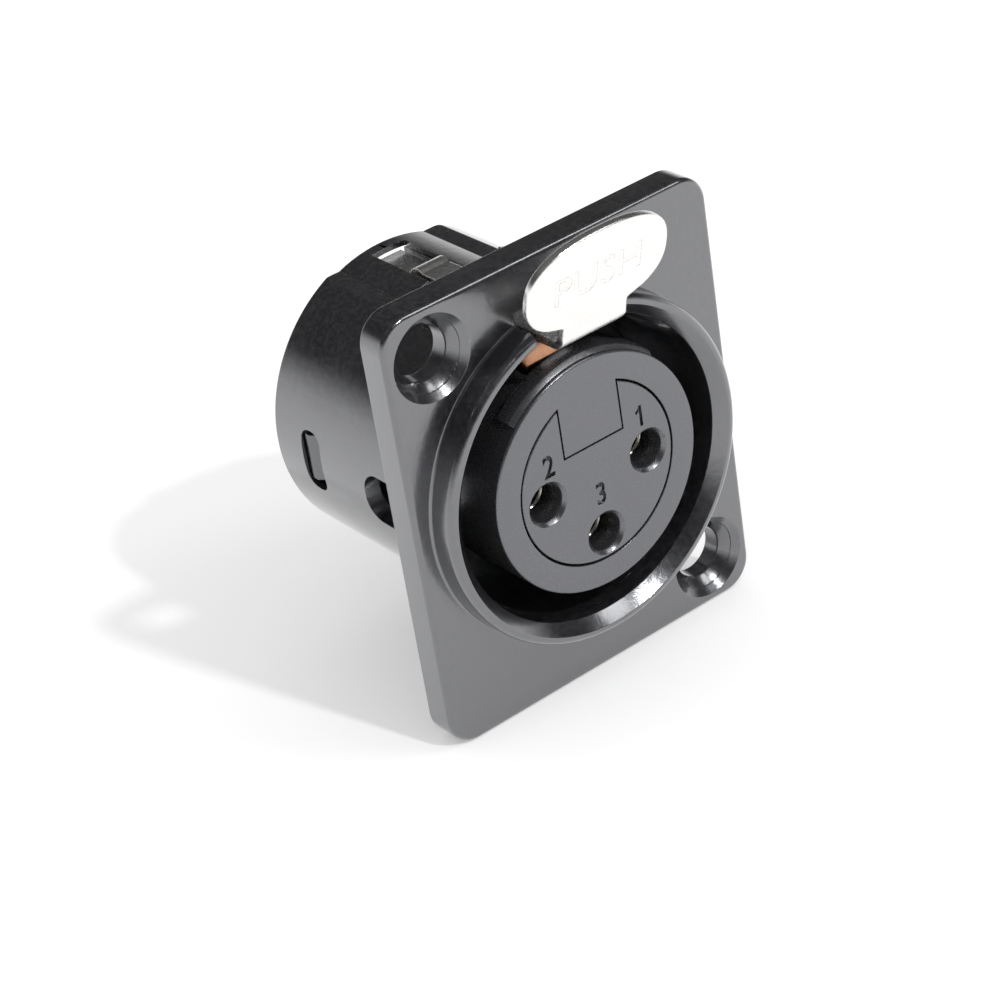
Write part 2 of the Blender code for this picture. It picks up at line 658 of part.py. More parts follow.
def sleeve_profile():
    """Insert sleeve with its front web and rear flange."""
    return [
        (SLEEVE_FRONT_BORE_RADIUS, FRONT_Y),
        (SLEEVE_RADIUS - SLEEVE_EDGE, FRONT_Y),
        (SLEEVE_RADIUS, FRONT_Y + SLEEVE_EDGE),
        (SLEEVE_RADIUS, FLANGE_SEAT_Y),
        (SLEEVE_FLANGE_RADIUS, FLANGE_SEAT_Y),
        (SLEEVE_FLANGE_RADIUS, SLEEVE_END_Y),
        (SLEEVE_BORE_RADIUS, SLEEVE_END_Y),
        (SLEEVE_BORE_RADIUS, WEB_END_Y),
        (SLEEVE_FRONT_BORE_RADIUS, WEB_END_Y),
    ]


def key_rib():
    """Rib on the top of the sleeve that the plug's keyway slides over."""
    root = (SLEEVE_BORE_RADIUS + SLEEVE_RADIUS) / 2.0
    profile = [
        (root, FRONT_Y),
        (RIB_LEAD_RADIUS, FRONT_Y),
        (RIB_RADIUS, FRONT_Y + RIB_LEAD_LENGTH),
        (RIB_RADIUS, RIB_END_Y),
        (root, RIB_END_Y),
    ]
    rib = place(turned("key_rib", profile, LARGE_STEPS), CUTTERS)
    reach = 2.0 * RIB_RADIUS
    spread = reach * math.tan(math.radians(RIB_HALF_ANGLE_DEG))
    sector = [(0.0, 0.0), (spread, reach), (-spread, reach)]
    keep(rib, extruded("rib_sector", sector, FRONT, -RIB_END_Y - OVERSHOOT, -FRONT_Y + OVERSHOOT))
    CUTTERS.objects.unlink(rib)
    return rib


def snap_lug(name, side):
    """Snap lug of the sleeve, ramped at its front and square at its rear, in plan."""
    start = FLANGE_SEAT_Y
    end = start + SNAP_LENGTH
    root = SLEEVE_FLANGE_RADIUS - OVERSHOOT
    outline = [
        (root, start),
        (SLEEVE_FLANGE_RADIUS, start),
        (SLEEVE_FLANGE_RADIUS + SNAP_REACH, end - SNAP_FLAT),
        (SLEEVE_FLANGE_RADIUS + SNAP_REACH, end),
        (root, end),
    ]
    mirrored = [(side * x, y) for x, y in outline]
    return extruded(name, mirrored, PLAN, -SNAP_HALF_HEIGHT, SNAP_HALF_HEIGHT)


def build_insert_sleeve(material):
    """Moulded sleeve that carries the key rib, the strip's groove and the spring's pocket."""
    sleeve = place(turned("insert_sleeve", sleeve_profile(), LARGE_STEPS), PARTS, material)
    key_top = (SLEEVE_BORE_RADIUS + STRIP_FLOOR_Z) / 2.0
    key = block(
        "block_key",
        (-KEY_HALF_WIDTH, FRONT_Y, KEY_BOTTOM_Z),
        (KEY_HALF_WIDTH, SLEEVE_END_Y, key_top),
    )
    join(sleeve, key)
    join(sleeve, snap_lug("right_snap_lug", 1.0))
    join(sleeve, snap_lug("left_snap_lug", -1.0))
    top = SLEEVE_FLANGE_RADIUS + OVERSHOOT
    groove_left = STRIP_LEFT_X - STRIP_SIDE_CLEARANCE
    groove_right = STRIP_FRONT_RIGHT_X + STRIP_SIDE_CLEARANCE
    arm_right = STRIP_LEFT_X + STRIP_ARM_WIDTH + STRIP_SIDE_CLEARANCE
    groove = [
        (groove_left, STRIP_GROOVE_Y),
        (groove_right, STRIP_GROOVE_Y),
        (groove_right, STRIP_ARM_Y + STRIP_SIDE_CLEARANCE),
        (arm_right, STRIP_ARM_Y + STRIP_SIDE_CLEARANCE),
        (arm_right, SLEEVE_END_Y + OVERSHOOT),
        (groove_left, SLEEVE_END_Y + OVERSHOOT),
    ]
    cut(sleeve, extruded("strip_groove", groove, PLAN, STRIP_FLOOR_Z, top))
    tail_pocket = block(
        "tail_pocket",
        (STRIP_LEFT_X + STRIP_ARM_WIDTH, POCKET_START_Y, POCKET_FLOOR_Z),
        (TAIL_HALF_WIDTH + POCKET_CLEARANCE, SLEEVE_END_Y + OVERSHOOT, top),
    )
    cut(sleeve, tail_pocket)
    pocket_radius = SPRING_RADIUS + SPRING_POCKET_CLEARANCE
    circle = arc((0.0, SPRING_Y), pocket_radius, 0.0, 360.0, SMALL_STEPS)[:-1]
    cut(sleeve, extruded("spring_pocket", circle, PLAN, SPRING_FLOOR_Z, top))
    join(sleeve, key_rib())


def chamber(name, x, z):
    """Stepped hole of the contact block for one contact."""
    profile = [
        (0.0, FRONT_Y - OVERSHOOT),
        (CONTACT_MOUTH_RADIUS, FRONT_Y - OVERSHOOT),
        (CONTACT_MOUTH_RADIUS, FRONT_Y),
        (CONTACT_HOLE_RADIUS, FRONT_Y + CONTACT_MOUTH_DEPTH),
        (CONTACT_HOLE_RADIUS, BLOCK_STEP_Y),
        (CHAMBER_RADIUS, BLOCK_STEP_Y),
        (CHAMBER_RADIUS, CHAMBER_END_Y),
        (COLLAR_SEAT_RADIUS, CHAMBER_END_Y),
        (COLLAR_SEAT_RADIUS, BLOCK_END_Y + OVERSHOOT),
        (0.0, BLOCK_END_Y + OVERSHOOT),
    ]
    return turned(name, profile, SMALL_STEPS, x, z)


def build_contact_block(material):
    """Moulded block that holds the three contacts."""
    profile = [
        (0.0, FRONT_Y),
        (BLOCK_FRONT_RADIUS, FRONT_Y),
        (BLOCK_FRONT_RADIUS, BLOCK_STEP_Y),
        (BLOCK_RADIUS, BLOCK_STEP_Y),
        (BLOCK_RADIUS, BLOCK_END_Y),
        (0.0, BLOCK_END_Y),
    ]
    carrier = place(turned("contact_block", profile, LARGE_STEPS), PARTS, material)
    half_width = KEY_HALF_WIDTH + BLOCK_CLEARANCE
    keyway = block(
        "block_keyway",
        (-half_width, FRONT_Y - OVERSHOOT, KEYWAY_BOTTOM_Z),
        (half_width, BLOCK_END_Y + OVERSHOOT, BLOCK_RADIUS + OVERSHOOT),
    )
    cut(carrier, keyway)
    for name, (x, z) in CONTACT_PLACES.items():
        cut(carrier, chamber("chamber_" + name, x, z))


def build_contact(name, x, z, material):
    """Socket contact with a slotted front, a seating collar and an open solder cup."""
    profile = [
        (0.0, CONTACT_FRONT_Y),
        (CONTACT_RADIUS - CONTACT_CHAMFER, CONTACT_FRONT_Y),
        (CONTACT_RADIUS, CONTACT_FRONT_Y + CONTACT_CHAMFER),
        (CONTACT_RADIUS, CONTACT_COLLAR_Y),
        (CONTACT_COLLAR_RADIUS, CONTACT_COLLAR_Y),
        (CONTACT_COLLAR_RADIUS, CONTACT_COLLAR_Y + CONTACT_COLLAR_LENGTH),
        (CUP_RADIUS, CONTACT_COLLAR_Y + CONTACT_COLLAR_LENGTH),
        (CUP_RADIUS, CONTACT_END_Y),
        (0.0, CONTACT_END_Y),
    ]
    contact = place(turned(name, profile, CONTACT_STEPS, x, z), PARTS, material)
    bore = [
        (0.0, CONTACT_FRONT_Y - OVERSHOOT),
        (CONTACT_BORE_RADIUS + CONTACT_CHAMFER, CONTACT_FRONT_Y - OVERSHOOT),
        (CONTACT_BORE_RADIUS + CONTACT_CHAMFER, CONTACT_FRONT_Y),
        (CONTACT_BORE_RADIUS, CONTACT_FRONT_Y + CONTACT_CHAMFER),
        (CONTACT_BORE_RADIUS, CONTACT_FRONT_Y + CONTACT_BORE_LENGTH),
        (0.0, CONTACT_FRONT_Y + CONTACT_BORE_LENGTH),
    ]
    cut(contact, turned(name + "_bore", bore, CONTACT_STEPS, x, z))
    cup = [
        (0.0, CONTACT_END_Y - CUP_BORE_LENGTH),
        (CUP_BORE_RADIUS, CONTACT_END_Y - CUP_BORE_LENGTH),
        (CUP_BORE_RADIUS, CONTACT_END_Y + OVERSHOOT),
        (0.0, CONTACT_END_Y + OVERSHOOT),
    ]
    cut(contact, turned(name + "_cup_bore", cup, CONTACT_STEPS, x, z))
    reach = CONTACT_RADIUS + OVERSHOOT
    cup_opening = block(
        name + "_cup_opening",
        (x - reach, CONTACT_END_Y - CUP_OPEN_LENGTH, z + CUP_OPEN_Z),
        (x + reach, CONTACT_END_Y + OVERSHOOT, z + reach),
    )
    cut(contact, cup_opening)
    start = CONTACT_FRONT_Y - OVERSHOOT
    end = CONTACT_FRONT_Y + CONTACT_SLOT_LENGTH
    half = CONTACT_SLOT_WIDTH / 2.0
    cut(contact, block(name + "_level_slot", (x - reach, start, z - half), (x + reach, end, z + half)))
    cut(contact, block(name + "_upright_slot", (x - half, start, z - reach), (x + half, end, z + reach)))


def ribbon(line, thickness):
    """Outline of a strip of even thickness along a line of (a, b) points."""
    directions = [
        math.atan2(later[1] - earlier[1], later[0] - earlier[0])
        for earlier, later in zip(line, line[1:])
    ]
    upper = []
    lower = []
    for index, (a, b) in enumerate(line):
        before = directions[max(index - 1, 0)]
        after = directions[min(index, len(directions) - 1)]
        normal = (before + after) / 2.0 + math.pi / 2.0
        reach = thickness / 2.0 / math.cos((after - before) / 2.0)
        upper.append((a + reach * math.cos(normal), b + reach * math.sin(normal)))
        lower.append((a - reach * math.cos(normal), b - reach * math.sin(normal)))
    return upper + lower[::-1]


def build_ground_contact(material):
    """Spring strip on the sleeve that touches the plug's shell, with a solder lug."""
    arm_z = STRIP_FLOOR_Z + STRIP_CLEARANCE + STRIP_THICKNESS / 2.0
    line = [
        (STRIP_TIP_Y, STRIP_TIP_Z),
        (STRIP_CREST_Y, STRIP_CREST_Z),
        (STRIP_CREST_END_Y, STRIP_CREST_Z),
        (STRIP_ARM_Y, arm_z),
        (LUG_END_Y + OVERSHOOT, arm_z),
    ]
    left = STRIP_LEFT_X - LUG_HALF_WIDTH
    right = STRIP_FRONT_RIGHT_X + OVERSHOOT
    strip = place(
        extruded("ground_contact", ribbon(line, STRIP_THICKNESS), SIDE, left, right), PARTS, material
    )
    arm_right = STRIP_LEFT_X + STRIP_ARM_WIDTH
    lug_x = STRIP_LEFT_X + STRIP_ARM_WIDTH / 2.0
    plan = rounded([
        (STRIP_LEFT_X, FRONT_Y, 0.0),
        (STRIP_FRONT_RIGHT_X, FRONT_Y, 0.0),
        (STRIP_FRONT_RIGHT_X, STRIP_CREST_END_Y, 0.0),
        (arm_right, STRIP_ARM_Y, 0.0),
        (arm_right, LUG_START_Y, 0.0),
        (lug_x + LUG_HALF_WIDTH, LUG_START_Y, 0.0),
        (lug_x + LUG_HALF_WIDTH, LUG_END_Y, LUG_CORNER_RADIUS),
        (lug_x - LUG_HALF_WIDTH, LUG_END_Y, LUG_CORNER_RADIUS),
        (lug_x - LUG_HALF_WIDTH, LUG_START_Y, 0.0),
        (STRIP_LEFT_X, LUG_START_Y, 0.0),
    ])
    keep(strip, extruded("strip_plan", plan, PLAN, 0.0, SLEEVE_FLANGE_RADIUS))
    lug_hole_y = LUG_END_Y - LUG_HALF_WIDTH
    hole = arc((lug_x, lug_hole_y), LUG_HOLE_RADIUS, 0.0, 360.0, CONTACT_STEPS)[:-1]
    cut(strip, extruded("lug_hole", hole, PLAN, 0.0, SLEEVE_FLANGE_RADIUS))


def tab_outline():
    """Oval push tab with its neck, drawn flat: width and height from where the neck starts."""
    corner_width = (NECK_HALF_WIDTH / TAB_HALF_WIDTH) ** TAB_ROUNDNESS
    corner_height = -((1.0 - corner_width) ** (1.0 / TAB_ROUNDNESS))
    start = math.atan2(
        -(abs(corner_height) ** (TAB_ROUNDNESS / 2.0)), corner_width**0.5
    )
    end = math.pi - start
    oval = []
    for index in range(TAB_STEPS + 1):
        angle = start + (end - start) * index / TAB_STEPS
        across = math.copysign(abs(math.cos(angle)) ** (2.0 / TAB_ROUNDNESS), math.cos(angle))
        up = math.copysign(abs(math.sin(angle)) ** (2.0 / TAB_ROUNDNESS), math.sin(angle))
        oval.append((TAB_HALF_WIDTH * across, TAB_RISE + TAB_HALF_HEIGHT * up))
    fillets = [NECK_FILLET] + [0.0] * (TAB_STEPS - 1) + [NECK_FILLET]
    corners = [(a, b, radius) for (a, b), radius in zip(oval, fillets)]
    return rounded([*corners, (-NECK_HALF_WIDTH, -TAB_FOOT, 0.0), (NECK_HALF_WIDTH, -TAB_FOOT, 0.0)])


def lever_outline():
    """Side view of the neck, bend, tongue and tail."""
    lean = math.radians(TAB_LEAN_DEG)
    bend = (-TONGUE_REACH, TONGUE_BOTTOM_Z + BEND_RADIUS)
    inner_radius = BEND_RADIUS - TONGUE_THICKNESS
    along = (-math.sin(lean), math.cos(lean))
    rise = TAB_RISE - TAB_HALF_HEIGHT / 2.0
    outer = arc(bend, BEND_RADIUS, 180.0 + TAB_LEAN_DEG, 270.0, 2 * CORNER_STEPS)
    inner = arc(bend, inner_radius, 270.0, 180.0 + TAB_LEAN_DEG, CORNER_STEPS)
    inset = (NECK_SETBACK * along[1], -NECK_SETBACK * along[0])
    outer[0] = (outer[0][0] + inset[0], outer[0][1] + inset[1])
    inner[-1] = (inner[-1][0] - inset[0], inner[-1][1] - inset[1])
    neck_front = (outer[0][0] + rise * along[0], outer[0][1] + rise * along[1])
    neck_back = (inner[-1][0] + rise * along[0], inner[-1][1] + rise * along[1])
    tail_bottom = PIVOT_Z - TAIL_BELOW_PIVOT
    tail_top = tail_bottom + TAIL_THICKNESS
    hump_z = tail_top + HUMP_HEIGHT - HUMP_RADIUS
    hump_deg = math.degrees(math.asin((tail_top - hump_z) / HUMP_RADIUS))
    hump = arc((HUMP_Y, hump_z), HUMP_RADIUS, 20.0, 180.0 - hump_deg, 2 * CORNER_STEPS)
    hub_side = PIVOT_Y - HUB_RADIUS / 3.0
    tip = rounded([
        (TAIL_DROP_START_Y, tail_bottom, 0.0),
        (TAIL_DROP_END_Y, TAIL_TIP_BOTTOM_Z, TAIL_TIP_THICKNESS),
        (TAIL_END_Y, TAIL_TIP_BOTTOM_Z, TAIL_TIP_THICKNESS / 3.0),
        (TAIL_END_Y, TAIL_TIP_TOP_Z, TAIL_TIP_THICKNESS / 3.0),
        (TAIL_DROP_END_Y, TAIL_TIP_TOP_Z, TAIL_TIP_THICKNESS / 2.0),
        (*hump[0], 0.0),
    ])
    return [
        neck_front,
        *outer,
        (hub_side, TONGUE_BOTTOM_Z),
        (PIVOT_Y, tail_bottom),
        *tip,
        *hump[1:],
        (PIVOT_Y, tail_top),
        (PIVOT_Y, TONGUE_TOP_Z),
        *inner,
        neck_back,
    ]


def lever_plan():
    """Plan of the lever: neck, tongue and hub of one width, and narrow tail."""
    half = [
        (TONGUE_HALF_WIDTH, FRONT_Y - 2.0 * TONGUE_REACH),
        (TONGUE_HALF_WIDTH, TAIL_NARROWS_Y),
        (TAIL_HALF_WIDTH, TAIL_NARROW_Y),
        (TAIL_HALF_WIDTH, TAIL_END_Y + OVERSHOOT),
    ]
    return half + [(-x, y) for x, y in reversed(half)]


def push_tab():
    """Oval tab plate, as thick as the tongue and leaned forward on top of the bend."""
    lean = math.radians(TAB_LEAN_DEG)
    foot_y = -TONGUE_REACH - BEND_RADIUS * math.cos(lean)
    foot_z = TONGUE_BOTTOM_Z + BEND_RADIUS - BEND_RADIUS * math.sin(lean)
    tab = extruded("push_tab", tab_outline(), FRONT, -TONGUE_THICKNESS, 0.0)
    shape = bmesh.new()
    shape.from_mesh(tab.data)
    rim = [
        edge
        for edge in shape.edges
        if abs(edge.verts[0].co.y - edge.verts[1].co.y) < WELD_DISTANCE
        and max(vert.co.z for vert in edge.verts) > 0.0
    ]
    bmesh.ops.bevel(
        shape, geom=rim, offset=TAB_EDGE_RADIUS, segments=2, profile=0.5, affect="EDGES"
    )
    shape.to_mesh(tab.data)
    shape.free()
    tab.matrix_basis = Matrix.Translation((0.0, foot_y, foot_z)) @ Matrix.Rotation(lean, 4, "X")
    return tab


def build_latch_lever(material):
    """Push tab, neck, tongue, hook, hub and tail in one piece, on its pivot."""
    wide = 2.0 * TONGUE_HALF_WIDTH
    lever = place(extruded("latch_lever", lever_outline(), SIDE, -wide, wide), PARTS, material)
    keep(lever, extruded("lever_plan", lever_plan(), PLAN, 0.0, 2.0 * PIVOT_Z))
    join(lever, push_tab())
    join(lever, rod("lever_hub", HUB_RADIUS, HUB_HALF_WIDTH, PIVOT_Y, PIVOT_Z, SMALL_STEPS))
    hook_root = TONGUE_BOTTOM_Z + TONGUE_THICKNESS / 4.0
    hook = [
        (HOOK_START_Y, hook_root),
        (HOOK_TIP_Y, TONGUE_BOTTOM_Z - HOOK_DEPTH),
        (HOOK_END_Y, TONGUE_BOTTOM_Z - HOOK_DEPTH),
        (HOOK_END_Y, hook_root),
    ]
    join(lever, extruded("lever_hook", hook, SIDE, -HOOK_HALF_WIDTH, HOOK_HALF_WIDTH))
    hole_radius = PIN_RADIUS + PIN_CLEARANCE
    cut(lever, rod("lever_hole", hole_radius, CHANNEL_HALF_WIDTH, PIVOT_Y, PIVOT_Z, SMALL_STEPS))
    pivot = bpy.data.objects.new("latch_pivot", None)
    pivot.location = (0.0, PIVOT_Y, PIVOT_Z)
    PARTS.objects.link(pivot)
    lever.parent = pivot
    lever.matrix_parent_inverse = Matrix.Translation(pivot.location).inverted()


def build_lever_pin(material):
    """Pin through both cheeks and the lever's hub."""
    half_length = CHEEK_OUTER_X - PIN_RECESS
    place(rod("lever_pin", PIN_RADIUS, half_length, PIVOT_Y, PIVOT_Z, SMALL_STEPS), PARTS, material)


def build_latch_spring(material):
    """Coil spring between the pocket's floor and the lever's tail."""
    curve = bpy.data.curves.new("latch_spring", "CURVE")
    curve.dimensions = "3D"
    curve.bevel_depth = SPRING_WIRE_RADIUS
    curve.bevel_resolution = 1
    curve.use_fill_caps = True
    low = SPRING_FLOOR_Z + SPRING_END_GAP + SPRING_WIRE_RADIUS
    high = TAIL_TIP_BOTTOM_Z - SPRING_END_GAP - SPRING_WIRE_RADIUS
    coil_radius = SPRING_RADIUS - SPRING_WIRE_RADIUS
    count = SPRING_TURNS * SPRING_STEPS + 1
    spline = curve.splines.new("POLY")
    spline.points.add(count - 1)
    for index, point in enumerate(spline.points):
        angle = math.tau * index / SPRING_STEPS
        height = low + (high - low) * index / (count - 1)
        x = coil_radius * math.cos(angle)
        y = SPRING_Y + coil_radius * math.sin(angle)
        point.co = (x, y, height, 1.0)
    place(bpy.data.objects.new("latch_spring", curve), PARTS, material)


clear_scene()
PARTS = new_collection("xlr_panel_socket")
CUTTERS = new_collection("cutters")
PLASTIC = black_plastic()
NICKEL = nickel()
STEEL = spring_steel()

build_shell(black_paint())
build_insert_sleeve(PLASTIC)
build_contact_block(PLASTIC)
for contact_name, (contact_x, contact_z) in CONTACT_PLACES.items():
    build_contact(contact_name, contact_x, contact_z, NICKEL)
build_ground_contact(copper())
build_latch_lever(NICKEL)
build_lever_pin(STEEL)
build_latch_spring(STEEL)
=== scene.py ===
"""Dressed panel socket: finer pieces, finishes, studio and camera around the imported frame.

Metres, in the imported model's frame: X to the right seen from the front, Y rearwards and Z up
towards the push tab. The origin is on the mating axis, in the rear face of the flange.
"""

import logging
import math
from dataclasses import dataclass
from enum import Enum
from typing import Callable, Sequence

import bpy
from bpy.types import Material, Node, NodeSocket, NodeTree, Object
from mathutils import Matrix, Vector


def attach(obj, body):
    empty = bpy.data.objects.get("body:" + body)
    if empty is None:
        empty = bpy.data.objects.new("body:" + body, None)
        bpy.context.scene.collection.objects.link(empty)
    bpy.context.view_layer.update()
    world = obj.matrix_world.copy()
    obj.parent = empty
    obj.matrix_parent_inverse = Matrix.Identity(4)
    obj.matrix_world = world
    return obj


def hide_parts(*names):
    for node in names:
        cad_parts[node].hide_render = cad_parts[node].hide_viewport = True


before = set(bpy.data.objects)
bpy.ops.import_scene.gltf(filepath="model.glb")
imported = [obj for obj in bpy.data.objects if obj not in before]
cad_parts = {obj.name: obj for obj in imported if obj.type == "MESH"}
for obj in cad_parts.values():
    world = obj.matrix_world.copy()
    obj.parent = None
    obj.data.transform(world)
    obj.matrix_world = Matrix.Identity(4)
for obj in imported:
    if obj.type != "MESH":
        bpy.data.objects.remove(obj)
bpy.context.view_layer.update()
LOG = logging.getLogger("panel_socket")

Point = tuple[float, float]
Corner = tuple[float, float, float]
Color = tuple[float, float, float]
Spots = tuple[float, float, float, float]

WELD = 1e-6
OVERSHOOT = 0.001
LARGE_STEPS = 192
SMALL_STEPS = 64
SMOOTH_ANGLE = math.radians(38.0)
NOISE_RANGE = (0.30, 0.70)


class Body(Enum):
    """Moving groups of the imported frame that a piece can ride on."""

    SOCKET = "socket"
    LATCH = "latch"


class Operation(Enum):
    """How a tool shape changes a piece."""

    CUT = "DIFFERENCE"
    JOIN = "UNION"
    KEEP = "INTERSECT"


class View(Enum):
    """Row axes that an outline's two directions and its depth run along."""

    PLAN = ("x", "y", "z")
    FRONT = ("x", "z", "y")
    SIDE = ("y", "z", "x")

    def at(self, first: float, second: float, depth: float) -> Vector:
        """Place in the row frame of an outline point at a depth."""
        place = Vector()
        for axis, value in zip(self.value, (first, second, depth)):
            setattr(place, axis, value)
        return place


def clear_selection() -> None:
    """Leave edit mode and deselect every object."""
    if bpy.context.object is not None and bpy.context.object.mode != "OBJECT":
        bpy.ops.object.mode_set(mode="OBJECT")
    bpy.ops.object.select_all(action="DESELECT")


def pick(piece: Object) -> None:
    """Make one object the only selected and the active one."""
    clear_selection()
    piece.select_set(True)
    bpy.context.view_layer.objects.active = piece


def begin_edit(piece: Object, mode: str = "EDGE") -> None:
    """Open a piece in edit mode with nothing selected."""
    pick(piece)
    bpy.ops.object.mode_set(mode="EDIT")
    bpy.ops.mesh.select_mode(type=mode)
    bpy.ops.mesh.select_all(action="DESELECT")


def end_edit(piece: Object) -> Object:
    """Merge doubled points, turn the faces outwards, leave edit mode and return the piece."""
    bpy.ops.mesh.select_all(action="SELECT")
    bpy.ops.mesh.remove_doubles(threshold=WELD)
    bpy.ops.mesh.normals_make_consistent(inside=False)
    bpy.ops.object.mode_set(mode="OBJECT")
    return piece


def fresh(name: str) -> Object:
    """Name the object that was just added, apply its place and turn, and return it."""
    piece = bpy.context.object
    piece.name = name
    bpy.ops.object.transform_apply(location=True, rotation=True, scale=True)
    return piece


def soften_edges(
    piece: Object, test: Callable[[Vector, Vector], bool], width: float, segments: int
) -> None:
    """Bevel the edges whose two ends pass a test.

    Args:
        piece: Object to change.
        test: Takes the places of an edge's two ends.
        width: Offset of the bevel.
        segments: Number of faces across the bevel.
    """
    begin_edit(piece)
    bpy.ops.object.mode_set(mode="OBJECT")
    points = piece.data.vertices
    found = False
    for edge in piece.data.edges:
        edge.select = test(*(points[index].co for index in edge.vertices))
        found = found or edge.select
    bpy.ops.object.mode_set(mode="EDIT")
    if found:
        bpy.ops.mesh.bevel(offset=width, segments=segments, profile=0.5, affect="EDGES")
    end_edit(piece)


def arc(center: Point, radius: float, start: float, end: float, steps: int) -> list[Point]:
    """Points on an arc, both ends included.

    Args:
        center: Middle of the arc.
        radius: Radius of the arc.
        start: First angle in degrees.
        end: Last angle in degrees.
        steps: Number of pieces.

    Returns:
        The points in order.
    """
    angles = [math.radians(start + (end - start) * index / steps) for index in range(steps + 1)]
    return [
        (center[0] + radius * math.cos(angle), center[1] + radius * math.sin(angle))
        for angle in angles
    ]


def rounded(corners: Sequence[Corner], steps: int = 6) -> list[Point]:
    """Closed outline whose corners are rounded by their own radius.

    Args:
        corners: First direction, second direction and radius of each corner.
        steps: Pieces in each rounding.

    Returns:
        The outline's points in order.
    """
    points: list[Point] = []
    for index, (a, b, radius) in enumerate(corners):
        if radius == 0.0:
            points.append((a, b))
            continue
        last_a, last_b, _ = corners[index - 1]
        next_a, next_b, _ = corners[(index + 1) % len(corners)]
        to_last = math.atan2(last_b - b, last_a - a)
        to_next = math.atan2(next_b - b, next_a - a)
        opening = (to_next - to_last + math.pi) % math.tau - math.pi
        side = math.copysign(1.0, opening)
        reach = radius / math.sin(abs(opening) / 2.0)
        middle = to_last + opening / 2.0
        center = (a + reach * math.cos(middle), b + reach * math.sin(middle))
        start = to_last - side * math.pi / 2.0
        end = start + opening - side * math.pi
        points += arc(center, radius, math.degrees(start), math.degrees(end), steps)
    return points


def rectangle(low: Point, high: Point, radius: float = 0.0) -> list[Point]:
    """Outline of a rectangle between two corners, with rounded corners."""
    return rounded([
        (low[0], low[1], radius),
        (high[0], low[1], radius),
        (high[0], high[1], radius),
        (low[0], high[1], radius),
    ])


def mirrored(half: Sequence[Point]) -> list[Point]:
    """Closed outline from the half of it on the right of the middle plane."""
    return [*half, *((-a, b) for a, b in reversed(half))]


def prism(
    name: str, outline: Sequence[Point], view: View, start: float, end: float
) -> Object:
    """Extrude a closed outline from one depth to another.

    Args:
        name: Name of the new object.
        outline: Points of the outline in order.
        view: Which row axes the outline and the depth follow.
        start: Depth of the first cap.
        end: Depth of the second cap.

    Returns:
        The new object, open in no mode.
    """
    clear_selection()
    bpy.ops.mesh.primitive_circle_add(vertices=len(outline), radius=OVERSHOOT, fill_type="NGON")
    piece = fresh(name)
    for point, (a, b) in zip(piece.data.vertices, outline):
        point.co = view.at(a, b, start)
    begin_edit(piece, "FACE")
    bpy.ops.mesh.select_all(action="SELECT")
    along = view.at(0.0, 0.0, end - start)
    bpy.ops.mesh.extrude_region_move(TRANSFORM_OT_translate={"value": along})
    return end_edit(piece)


def lathe(
    name: str,
    profile: Sequence[Point],
    steps: int,
    x: float = 0.0,
    z: float = 0.0,
    solid: bool = True,
) -> Object:
    """Extrude and resize a ring along a profile, about an axis along Y.

    Args:
        name: Name of the new object.
        profile: Radius and y of each ring in order.
        steps: Points on each ring.
        x: Place of the axis in X.
        z: Place of the axis in Z.
        solid: True to close both ends with a disc, False to close the profile on itself.

    Returns:
        The new object.
    """
    clear_selection()
    radius, y = profile[0]
    bpy.ops.mesh.primitive_circle_add(
        vertices=steps,
        radius=radius,
        fill_type="NGON" if solid else "NOTHING",
        location=(x, y, z),
        rotation=(math.pi / 2.0, 0.0, 0.0),
    )
    piece = fresh(name)
    begin_edit(piece)
    bpy.ops.mesh.select_all(action="SELECT")
    rings = list(profile[1:]) if solid else [*profile[1:], profile[0]]
    for next_radius, next_y in rings:
        bpy.ops.mesh.extrude_edges_move(TRANSFORM_OT_translate={"value": (0.0, next_y - y, 0.0)})
        ratio = next_radius / radius
        bpy.ops.transform.resize(value=(ratio, 1.0, ratio), center_override=(x, next_y, z))
        radius, y = next_radius, next_y
    if solid:
        bpy.ops.mesh.edge_face_add()
    return end_edit(piece)


def pivot_rod(name: str, radius: float, half_length: float, chamfer: float = 0.0) -> Object:
    """Round bar along the latch's axis, centred on the middle plane, with chamfered ends.

    Args:
        name: Name of the new object.
        radius: Radius of the bar.
        half_length: Half of its length.
        chamfer: Width of the chamfer at both ends.

    Returns:
        The new object.
    """
    clear_selection()
    bpy.ops.mesh.primitive_cylinder_add(
        vertices=SMALL_STEPS,
        radius=radius,
        depth=2.0 * half_length,
        location=(0.0, SIZES.pivot_y, SIZES.pivot_z),
        rotation=(0.0, math.pi / 2.0, 0.0),
    )
    piece = fresh(name)
    if chamfer > 0.0:
        soften_edges(piece, lambda a, b: abs(a.x - b.x) < WELD, chamfer, 2)
    return piece


def block(name: str, low: Sequence[float], high: Sequence[float]) -> Object:
    """Box between two opposite corners."""
    return prism(name, rectangle((low[0], low[1]), (high[0], high[1])), View.PLAN, low[2], high[2])


def combine(piece: Object, operation: Operation, *tools: Object) -> None:
    """Change a piece by tool shapes, one after another, which are used up.

    Args:
        piece: Object to change.
        operation: What is done.
        tools: Closed shapes to cut with, join or keep inside.
    """
    for tool in tools:
        pick(piece)
        step = piece.modifiers.new("step", "BOOLEAN")
        step.solver = "EXACT"
        step.operation = operation.value
        step.object = tool
        bpy.ops.object.modifier_apply(modifier=step.name)
        bpy.data.objects.remove(tool, do_unlink=True)


def cut(piece: Object, *tools: Object) -> None:
    """Cut tool shapes out of a piece."""
    combine(piece, Operation.CUT, *tools)


def join(piece: Object, *tools: Object) -> None:
    """Join other shapes to a piece."""
    combine(piece, Operation.JOIN, *tools)


def keep(piece: Object, tool: Object) -> None:
    """Keep only what lies inside a tool shape."""
    combine(piece, Operation.KEEP, tool)


